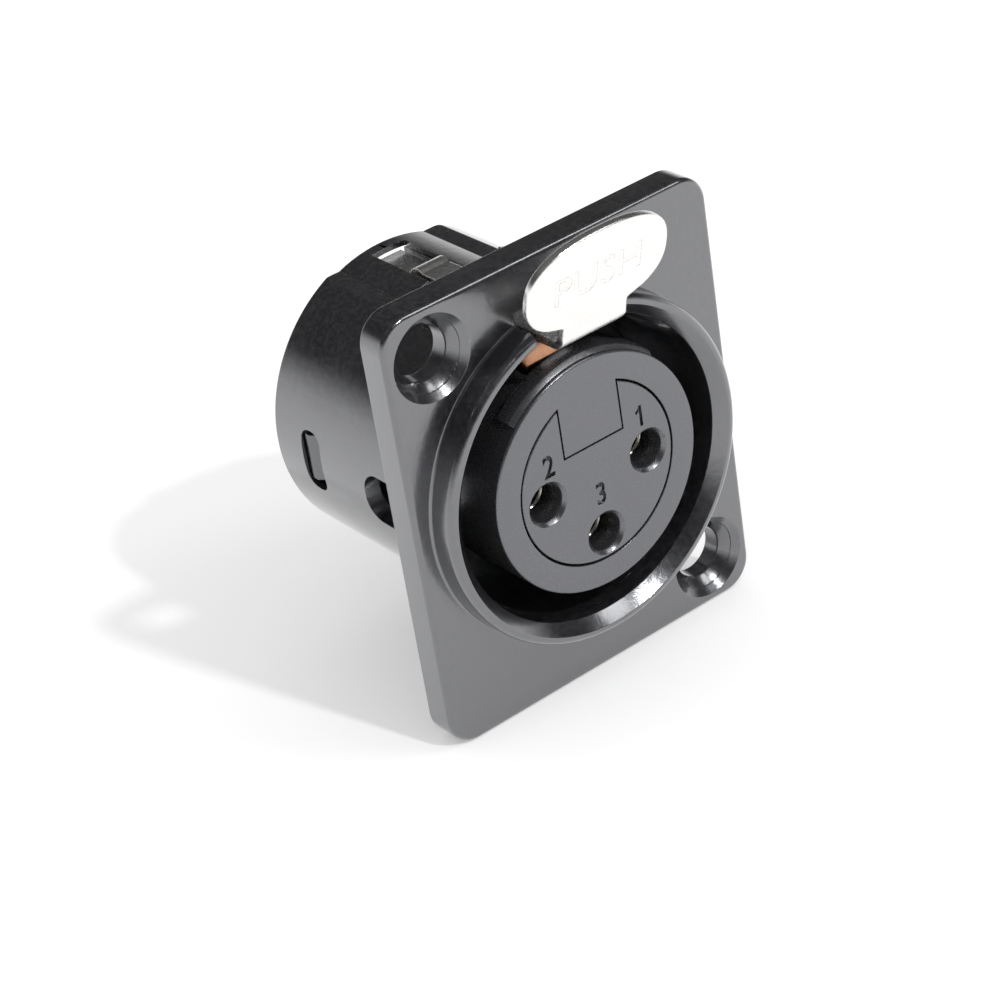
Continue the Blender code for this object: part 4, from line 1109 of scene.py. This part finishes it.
@dataclass
class ContactBlock(DressedPiece):
    """Black block with the three contact holes and their numbers."""

    node: str = "contact_block"
    slot: str = "black_plastic"
    front_radius: float = 0.00613
    radius: float = 0.00681
    step: float = -0.00216
    end: float = 0.0153
    front_edge: float = 0.00006
    rear_edge: float = 0.00010
    keyway_half: float = 0.00249
    keyway_bottom: float = 0.00213
    hole: float = 0.00128
    mouth: float = 0.00155
    mouth_depth: float = 0.00022
    mouth_flare: float = 0.00002
    mouth_round: float = 0.00004
    mouth_round_start: float = 0.00001
    mouth_round_end: float = 0.00006
    chamber: float = 0.00175
    chamber_end: float = 0.0127
    collar_seat: float = 0.0021
    number_depth: float = 0.00030
    number_stroke: float = 0.020
    number_width: float = 0.86
    one: Point = (0.00395, 0.0024)
    one_height: float = 0.0015
    two: Point = (-0.0037, 0.0023)
    three: Point = (0.0, -0.00145)
    height: float = 0.0016
    flag_top: float = 0.00314
    flag_corners: tuple[Point, ...] = (
        (0.0, 0.0),
        (-0.00044, -0.00040),
        (-0.00036, -0.00056),
        (0.0, -0.00026),
    )

    def chamber_tool(self, x: float, z: float) -> Object:
        """Stepped hole for one contact."""
        depth = SIZES.front + self.mouth_depth
        profile = [
            (self.mouth + self.mouth_flare, SIZES.front - OVERSHOOT),
            (self.mouth, SIZES.front),
            (self.hole + self.mouth_round, depth - self.mouth_round_start),
            (self.hole, depth + self.mouth_round_end),
            (self.hole, self.step),
            (self.chamber, self.step),
            (self.chamber, self.chamber_end),
            (self.collar_seat, self.chamber_end),
            (self.collar_seat, self.end + OVERSHOOT),
        ]
        return lathe("chamber", profile, SMALL_STEPS, x, z)

    def number(self, digit: str, center: Point, height: float) -> Object:
        """Engraved number beside its contact hole."""
        place = Matrix.Translation((center[0], SIZES.front, center[1]))
        depth, width = self.number_depth, self.number_width
        return lettering(digit, height, depth, width, place, self.number_stroke)

    def flag(self) -> Object:
        """Short slanting stroke at the top of the figure one."""
        outline = [(self.one[0] + x, self.flag_top + z) for x, z in self.flag_corners]
        front = SIZES.front - self.number_depth
        return prism("flag", outline, View.FRONT, front, SIZES.front + self.number_depth)

    def shape(self) -> Object:
        """Model the block with its keyway, contact holes and numbers."""
        profile = [
            (self.front_radius - self.front_edge, SIZES.front),
            (self.front_radius, SIZES.front + self.front_edge),
            (self.front_radius, self.step),
            (self.radius, self.step),
            (self.radius, self.end - self.rear_edge),
            (self.radius - self.rear_edge, self.end),
        ]
        carrier = lathe("carrier", profile, LARGE_STEPS)
        keyway = block(
            "keyway",
            (-self.keyway_half, SIZES.front - OVERSHOOT, self.keyway_bottom),
            (self.keyway_half, self.end + OVERSHOOT, self.radius + OVERSHOOT),
        )
        cut(carrier, keyway, *(self.chamber_tool(x, z) for x, z in CONTACT_PLACES.values()))
        cut(carrier, self.number("1", self.one, self.one_height), self.flag())
        cut(carrier, self.number("2", self.two, self.height))
        cut(carrier, self.number("3", self.three, self.height))
        return carrier


@dataclass
class SocketContact(DressedPiece):
    """Turned and plated contact with a slotted front and an open solder cup."""

    node: str
    x: float
    z: float
    slot: str = "contact_plating"
    front: float = -0.00201
    radius: float = 0.0016
    bore: float = 0.0012
    bore_length: float = 0.0120
    chamfer: float = 0.00015
    bulge: Point = (0.6, 0.3)
    slit: float = 0.0004
    slit_length: float = 0.0055
    collar: float = 0.0020
    collar_start: float = 0.0128
    collar_length: float = 0.0008
    collar_edge: float = 0.00008
    cup_edge: float = 0.00010
    cup: float = 0.00145
    cup_bore: float = 0.0010
    cup_floor: float = 0.0163
    cup_open: float = 0.0167
    cup_open_height: float = 0.0003
    end: float = 0.0200

    def shape(self) -> Object:
        """Turn the contact, open its cup and slot its front."""
        chamfer, edge, lip = self.chamfer, self.collar_edge, self.cup_edge
        collar_end = self.collar_start + self.collar_length
        profile = [
            (self.bore, self.front + self.bore_length),
            (self.bore, self.front + chamfer),
            (self.bore + self.bulge[0] * chamfer, self.front + self.bulge[1] * chamfer),
            (self.bore + chamfer, self.front),
            (self.radius - chamfer, self.front),
            (self.radius, self.front + chamfer),
            (self.radius, self.collar_start),
            (self.collar - edge, self.collar_start),
            (self.collar, self.collar_start + edge),
            (self.collar, collar_end - edge),
            (self.collar - edge, collar_end),
            (self.cup, collar_end),
            (self.cup, self.end - lip),
            (self.cup - lip, self.end),
            (self.cup_bore + lip, self.end),
            (self.cup_bore, self.end - lip),
            (self.cup_bore, self.cup_floor),
        ]
        contact = lathe(self.node, profile, SMALL_STEPS, self.x, self.z)
        reach = self.radius + OVERSHOOT
        opening = block(
            "cup_opening",
            (self.x - reach, self.cup_open, self.z + self.cup_open_height),
            (self.x + reach, self.end + OVERSHOOT, self.z + reach),
        )
        start, end = self.front - OVERSHOOT, self.front + self.slit_length
        half = self.slit / 2.0
        level, upright = (
            block("slot", (self.x - a, start, self.z - b), (self.x + a, end, self.z + b))
            for a, b in ((reach, half), (half, reach))
        )
        cut(contact, opening, level, upright)
        return contact


@dataclass
class GroundStrip(DressedPiece):
    """Copper coloured spring strip in the sleeve's groove, with a solder lug."""

    node: str = "ground_contact"
    slot: str = "copper_strip"
    thickness: float = 0.0003
    tip: Point = (-0.00205, 0.0081)
    crest: Point = (-0.00085, 0.00855)
    crest_end: Point = (0.00115, 0.00855)
    arm: Point = (0.00285, 0.00745)
    left: float = -0.00265
    front_right: float = 0.0001
    arm_width: float = 0.0011
    lug_half: float = 0.0010
    lug_start: float = 0.0163
    lug_end: float = 0.0192
    lug_corner: float = 0.0008
    lug_hole: float = 0.00045
    bend: float = 0.0006
    bend_steps: int = 8
    shoulder_round: float = 0.0003
    arm_round: float = 0.0006
    neck_round: float = 0.0002

    def ribbon(self) -> list[Point]:
        """Side view of the strip with rounded bends, as a closed outline."""
        line = [self.tip, self.crest, self.crest_end, self.arm]
        line.append((self.lug_end + OVERSHOOT, self.arm[1]))
        smooth = [line[0]]
        for before, corner, after in zip(line, line[1:], line[2:]):
            middle = Vector(corner)
            start = middle + (Vector(before) - middle).normalized() * self.bend
            end = middle + (Vector(after) - middle).normalized() * self.bend
            for index in range(self.bend_steps + 1):
                share = index / self.bend_steps
                point = start.lerp(middle, share).lerp(middle.lerp(end, share), share)
                smooth.append((point.x, point.y))
        smooth.append(line[-1])
        upper, lower = [], []
        for index, point in enumerate(smooth):
            before = Vector(smooth[max(index - 1, 0)])
            after = Vector(smooth[min(index + 1, len(smooth) - 1)])
            along = (after - before).normalized()
            side = Vector((-along.y, along.x)) * self.thickness / 2.0
            upper.append((point[0] + side.x, point[1] + side.y))
            lower.append((point[0] - side.x, point[1] - side.y))
        return upper + lower[::-1]

    def shape(self) -> Object:
        """Bend the strip and cut it to its plan."""
        reach = self.lug_half + OVERSHOOT
        left, right = self.left - reach, self.front_right + reach
        strip = prism("strip", self.ribbon(), View.SIDE, left, right)
        arm_right = self.left + self.arm_width
        lug_x = self.left + self.arm_width / 2.0
        plan = rounded([
            (self.left, SIZES.front, 0.0),
            (self.front_right, SIZES.front, 0.0),
            (self.front_right, self.crest_end[0], self.shoulder_round),
            (arm_right, self.arm[0], self.arm_round),
            (arm_right, self.lug_start, self.neck_round),
            (lug_x + self.lug_half, self.lug_start, self.shoulder_round),
            (lug_x + self.lug_half, self.lug_end, self.lug_corner),
            (lug_x - self.lug_half, self.lug_end, self.lug_corner),
            (lug_x - self.lug_half, self.lug_start, self.shoulder_round),
            (self.left, self.lug_start, self.neck_round),
        ])
        keep(strip, prism("plan", plan, View.PLAN, 0.0, SIZES.seat))
        circle = arc((lug_x, self.lug_end - self.lug_half), self.lug_hole, 0.0, 360.0, 40)[:-1]
        cut(strip, prism("hole", circle, View.PLAN, 0.0, SIZES.seat))
        return strip


@dataclass
class LatchLever(DressedPiece):
    """Nickel plated push tab, neck, tongue, hook, hub and tail in one piece."""

    node: str = "latch_lever"
    slot: str = "nickel"
    body: Body = Body.LATCH
    reach: float = 0.00507
    bend: float = 0.00115
    thickness: float = 0.00055
    neck_half: float = 0.00256
    tongue_half: float = 0.00253
    lean: float = 15.8
    rise: float = 0.00405
    tab_half_width: float = 0.00555
    tab_half_height: float = 0.00333
    roundness: float = 2.45
    rim: float = 0.00014
    rim_start: float = 0.0002
    word_height: float = 0.0020
    word_depth: float = 0.00002
    word_width: float = 1.05
    fillet: float = 0.00045
    fillet_steps: int = 6
    oval_steps: int = 120
    setback: float = 0.00003
    foot: float = 0.0001
    tail_below: float = 0.00075
    tail_thickness: float = 0.0005
    tail_half: float = 0.0011
    tail_narrows: float = 0.0069
    tail_narrow: float = 0.0076
    hump_y: float = 0.0106
    hump_radius: float = 0.0010
    hump_height: float = 0.0002
    tip_top: float = 0.0094684
    tip_thickness: float = 0.00055
    drop_start: float = 0.0111
    drop_end: float = 0.0124
    tail_end: float = 0.0157
    hub: float = 0.00085
    hub_half: float = 0.0026
    hole_half: float = 0.0029
    hook_half: float = 0.0014
    hook_depth: float = 0.00125
    hook_start: float = -0.0018
    hook_ramp_end: float = -0.0006
    hook_end: float = 0.0010

    def side_view(self) -> list[Point]:
        """Side view of the neck, bend, tongue and tail."""
        lean = math.radians(self.lean)
        bend = (-self.reach, SIZES.tongue_bottom + self.bend)
        along = (-math.sin(lean), math.cos(lean))
        rise = self.rise - self.tab_half_height / 2.0
        outer = arc(bend, self.bend, 180.0 + self.lean, 270.0, 20)
        inner = arc(bend, self.bend - self.thickness, 270.0, 180.0 + self.lean, 12)
        inset = (self.setback * along[1], -self.setback * along[0])
        outer[0] = (outer[0][0] + inset[0], outer[0][1] + inset[1])
        inner[-1] = (inner[-1][0] - inset[0], inner[-1][1] - inset[1])
        front = (outer[0][0] + rise * along[0], outer[0][1] + rise * along[1])
        back = (inner[-1][0] + rise * along[0], inner[-1][1] + rise * along[1])
        bottom = SIZES.pivot_z - self.tail_below
        top = bottom + self.tail_thickness
        tip_bottom = self.tip_top - self.tip_thickness
        hump_z = top + self.hump_height - self.hump_radius
        hump_deg = math.degrees(math.asin((top - hump_z) / self.hump_radius))
        hump = arc((self.hump_y, hump_z), self.hump_radius, 20.0, 180.0 - hump_deg, 18)
        tip = rounded([
            (self.drop_start, bottom, 0.0),
            (self.drop_end, tip_bottom, self.tip_thickness),
            (self.tail_end, tip_bottom, self.tip_thickness / 3.0),
            (self.tail_end, self.tip_top, self.tip_thickness / 3.0),
            (self.drop_end, self.tip_top, self.tip_thickness / 2.0),
            (*hump[0], 0.0),
        ])
        return [
            front,
            *outer,
            (SIZES.pivot_y - self.hub / 3.0, SIZES.tongue_bottom),
            (SIZES.pivot_y, bottom),
            *tip,
            *hump[1:],
            (SIZES.pivot_y, top),
            (SIZES.pivot_y, SIZES.tongue_top),
            *inner,
            back,
        ]

    def plan_view(self) -> list[Point]:
        """Plan of the neck, the tongue and the narrow tail."""
        half = [
            (self.tongue_half, SIZES.front - 2.0 * self.reach),
            (self.tongue_half, self.tail_narrows),
            (self.tail_half, self.tail_narrow),
            (self.tail_half, self.tail_end + OVERSHOOT),
        ]
        return mirrored(half)

    def tab_outline(self) -> list[Point]:
        """Flat outline of the oval tab on its neck."""
        power = self.roundness
        across = (self.neck_half / self.tab_half_width) ** power
        down = -((1.0 - across) ** (1.0 / power))
        start = math.atan2(-(abs(down) ** (power / 2.0)), across**0.5)
        end = math.pi - start
        oval = []
        for index in range(self.oval_steps + 1):
            angle = start + (end - start) * index / self.oval_steps
            a = math.copysign(abs(math.cos(angle)) ** (2.0 / power), math.cos(angle))
            b = math.copysign(abs(math.sin(angle)) ** (2.0 / power), math.sin(angle))
            oval.append((self.tab_half_width * a, self.rise + self.tab_half_height * b))
        fillet = self.fillet
        corners = [(a, b, 0.0) for a, b in oval[self.fillet_steps : -self.fillet_steps]]
        first, last = oval[0], oval[-1]
        return rounded([
            (first[0], first[1], fillet / 2.0),
            *corners,
            (last[0], last[1], fillet / 2.0),
            (-self.neck_half, -self.foot, 0.0),
            (self.neck_half, -self.foot, 0.0),
        ])

    def tab_place(self) -> Matrix:
        """Where the tab's flat outline stands, leaned forward on top of the bend."""
        lean = math.radians(self.lean)
        y = -self.reach - self.bend * math.cos(lean)
        z = SIZES.tongue_bottom + self.bend - self.bend * math.sin(lean)
        return Matrix.Translation((0.0, y, z)) @ Matrix.Rotation(lean, 4, "X")

    def tab(self) -> Object:
        """Tab plate with a soft rim and a faint generic word."""
        plate = prism("tab", self.tab_outline(), View.FRONT, 0.0, self.thickness)
        low = self.rim_start
        soften_edges(
            plate, lambda a, b: abs(a.y - b.y) < WELD and max(a.z, b.z) > low, self.rim, 4
        )
        place = Matrix.Translation((0.0, 0.0, self.rise))
        cut(plate, lettering("PUSH", self.word_height, self.word_depth, self.word_width, place))
        plate.data.transform(self.tab_place())
        return plate

    def hook(self) -> Object:
        """Ramped hook that holds the plug."""
        root = SIZES.tongue_bottom + self.thickness / 4.0
        low = SIZES.tongue_bottom - self.hook_depth
        end = self.hook_end
        outline = [(self.hook_start, root), (self.hook_ramp_end, low), (end, low), (end, root)]
        return prism("hook", outline, View.SIDE, -self.hook_half, self.hook_half)

    def shape(self) -> Object:
        """Model the lever from its side view, its plan, the tab, the hub and the hook."""
        wide = 2.0 * self.tongue_half
        lever = prism("lever", self.side_view(), View.SIDE, -wide, wide)
        keep(lever, prism("plan", self.plan_view(), View.PLAN, 0.0, 2.0 * SIZES.pivot_z))
        hub = pivot_rod("hub", self.hub, self.hub_half)
        join(lever, self.tab(), hub, self.hook())
        cut(lever, pivot_rod("hole", SIZES.pin_hole, self.hole_half))
        return lever


@dataclass
class LeverPin(DressedPiece):
    """Steel pin that the lever turns on."""

    node: str = "lever_pin"
    slot: str = "steel"
    half_length: float = 0.00375
    chamfer: float = 0.00010

    def shape(self) -> Object:
        """Turn the pin."""
        return pivot_rod("pin", SIZES.pin, self.half_length, self.chamfer)


def dress_spring(material: Material) -> None:
    """Give the frame's own coil spring, which keeps its shape, its finish."""
    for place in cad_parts["latch_spring"].material_slots:
        place.material = material
    LOG.info("latch_spring: frame node dressed")


WHITE = (1.0, 1.0, 1.0, 1.0)


@dataclass
class Studio:
    """Pale floor, white surroundings and soft lamps."""

    floor_z: float = -0.01552
    floor_size: float = 3.0
    floor_color: float = 0.90
    floor_glow: float = 0.24
    surroundings: float = 0.72
    ceiling: float = 0.05
    ceiling_start: float = 0.02
    ceiling_full: float = 0.30
    zenith: float = 0.10
    zenith_start: float = 0.54
    zenith_full: float = 0.80

    def seen_light(self, nodes: Tree) -> NodeSocket:
        """Value that is 1 for camera, glossy and transmission rays."""
        kinds = ("Is Camera Ray", "Is Glossy Ray", "Is Transmission Ray")
        path = nodes.add("ShaderNodeLightPath", {})
        return nodes.largest(*(path.outputs[kind] for kind in kinds))

    def floor(self) -> None:
        """Lay the floor just under the flange. It keeps the object's shadow."""
        clear_selection()
        bpy.ops.mesh.primitive_plane_add(size=self.floor_size, location=(0.0, 0.0, self.floor_z))
        plane = bpy.context.object
        plane.name = "studio_floor"
        material = bpy.data.materials.new("studio_floor")
        material.use_nodes = True
        material.node_tree.nodes.clear()
        nodes = Tree(material.node_tree)
        matte = nodes.add("ShaderNodeBsdfDiffuse", {"Color": (*(self.floor_color,) * 3, 1.0)})
        level = nodes.math("MULTIPLY", self.seen_light(nodes), self.floor_glow)
        glow = nodes.add("ShaderNodeEmission", {"Strength": level})
        parts = {0: matte.outputs["BSDF"], 1: glow.outputs["Emission"]}
        both = nodes.add("ShaderNodeAddShader", parts)
        nodes.add("ShaderNodeOutputMaterial", {"Surface": both.outputs["Shader"]})
        plane.data.materials.append(material)

    def dome(self, nodes: Tree) -> NodeSocket:
        """White for the camera. Reflections see white low down and less light higher up."""
        place = nodes.add("ShaderNodeTexCoord", {}).outputs["Generated"]
        height = nodes.add("ShaderNodeSeparateXYZ", {"Vector": place}).outputs["Z"]
        low = nodes.spread(height, self.ceiling_start, self.ceiling_full, 1.0, self.ceiling)
        high = nodes.spread(height, self.zenith_start, self.zenith_full, 0.0, self.zenith)
        path = nodes.add("ShaderNodeLightPath", {})
        return nodes.largest(low, high, path.outputs["Is Camera Ray"])

    def world(self) -> None:
        """Surround the object with white where it is seen, and a plain level elsewhere."""
        world = bpy.data.worlds.new("studio")
        world.use_nodes = True
        world.node_tree.nodes.clear()
        nodes = Tree(world.node_tree)
        plain, white = (
            nodes.add("ShaderNodeBackground", {"Color": WHITE, "Strength": strength})
            for strength in (self.surroundings, self.dome(nodes))
        )
        parts = {
            "Fac": self.seen_light(nodes),
            1: plain.outputs["Background"],
            2: white.outputs["Background"],
        }
        mix = nodes.add("ShaderNodeMixShader", parts)
        nodes.add("ShaderNodeOutputWorld", {"Surface": mix.outputs["Shader"]})
        bpy.context.scene.world = world

    def lamp(self, name: str, place: Sequence[float], size: float, power: float) -> None:
        """Add a round soft lamp that faces the object.

        Args:
            name: Name of the lamp.
            place: Where it stands.
            size: Its width.
            power: Its power in watts.
        """
        clear_selection()
        bpy.ops.object.light_add(type="AREA", location=place)
        lamp = bpy.context.object
        lamp.name = name
        lamp.data.shape = "DISK"
        lamp.data.size = size
        lamp.data.energy = power
        lamp.rotation_euler = (-Vector(place)).to_track_quat("-Z", "Y").to_euler()
        lamp.visible_camera = False

    def build(self) -> None:
        """Set up the floor, the surroundings and the lamps."""
        self.floor()
        self.world()
        self.lamp("key", (0.204, -0.828, 0.840), size=0.07, power=4.6)
        self.lamp("softbox", (0.440, -0.450, 0.650), size=0.28, power=0.75)
        bpy.context.scene.view_settings.view_transform = "Standard"


@dataclass
class PhotoCamera:
    """Camera at the photograph's place, direction, roll and lens."""

    place: tuple[float, float, float] = (-0.095287, -0.134762, 0.095877)
    turn: tuple[float, float, float] = (58.750958, 8.179296, -38.805388)
    lens: float = 106.98
    sensor: float = 36.0
    nearest: float = 0.005
    farthest: float = 10.0

    def build(self) -> None:
        """Create the camera and make it the scene's own."""
        clear_selection()
        turn = tuple(math.radians(angle) for angle in self.turn)
        bpy.ops.object.camera_add(location=self.place, rotation=turn)
        camera = bpy.context.object
        camera.name = "photo_camera"
        camera.data.lens = self.lens
        camera.data.sensor_width = self.sensor
        camera.data.clip_start = self.nearest
        camera.data.clip_end = self.farthest
        bpy.context.scene.camera = camera


def main() -> None:
    """Build the camera, the studio and every piece in order."""
    logging.basicConfig(level=logging.INFO, format="%(message)s")
    PhotoCamera().build()
    Studio().build()
    materials = {slot: finish.material() for slot, finish in FINISHES.items()}
    contacts = [SocketContact(node, x, z) for node, (x, z) in CONTACT_PLACES.items()]
    moulded = (InsertSleeve(), ContactBlock())
    for piece in (Shell(), *moulded, *contacts, GroundStrip(), LatchLever(), LeverPin()):
        piece.build(materials)
    dress_spring(materials["steel"])
    clear_selection()


if __name__ == "__main__":
    main()
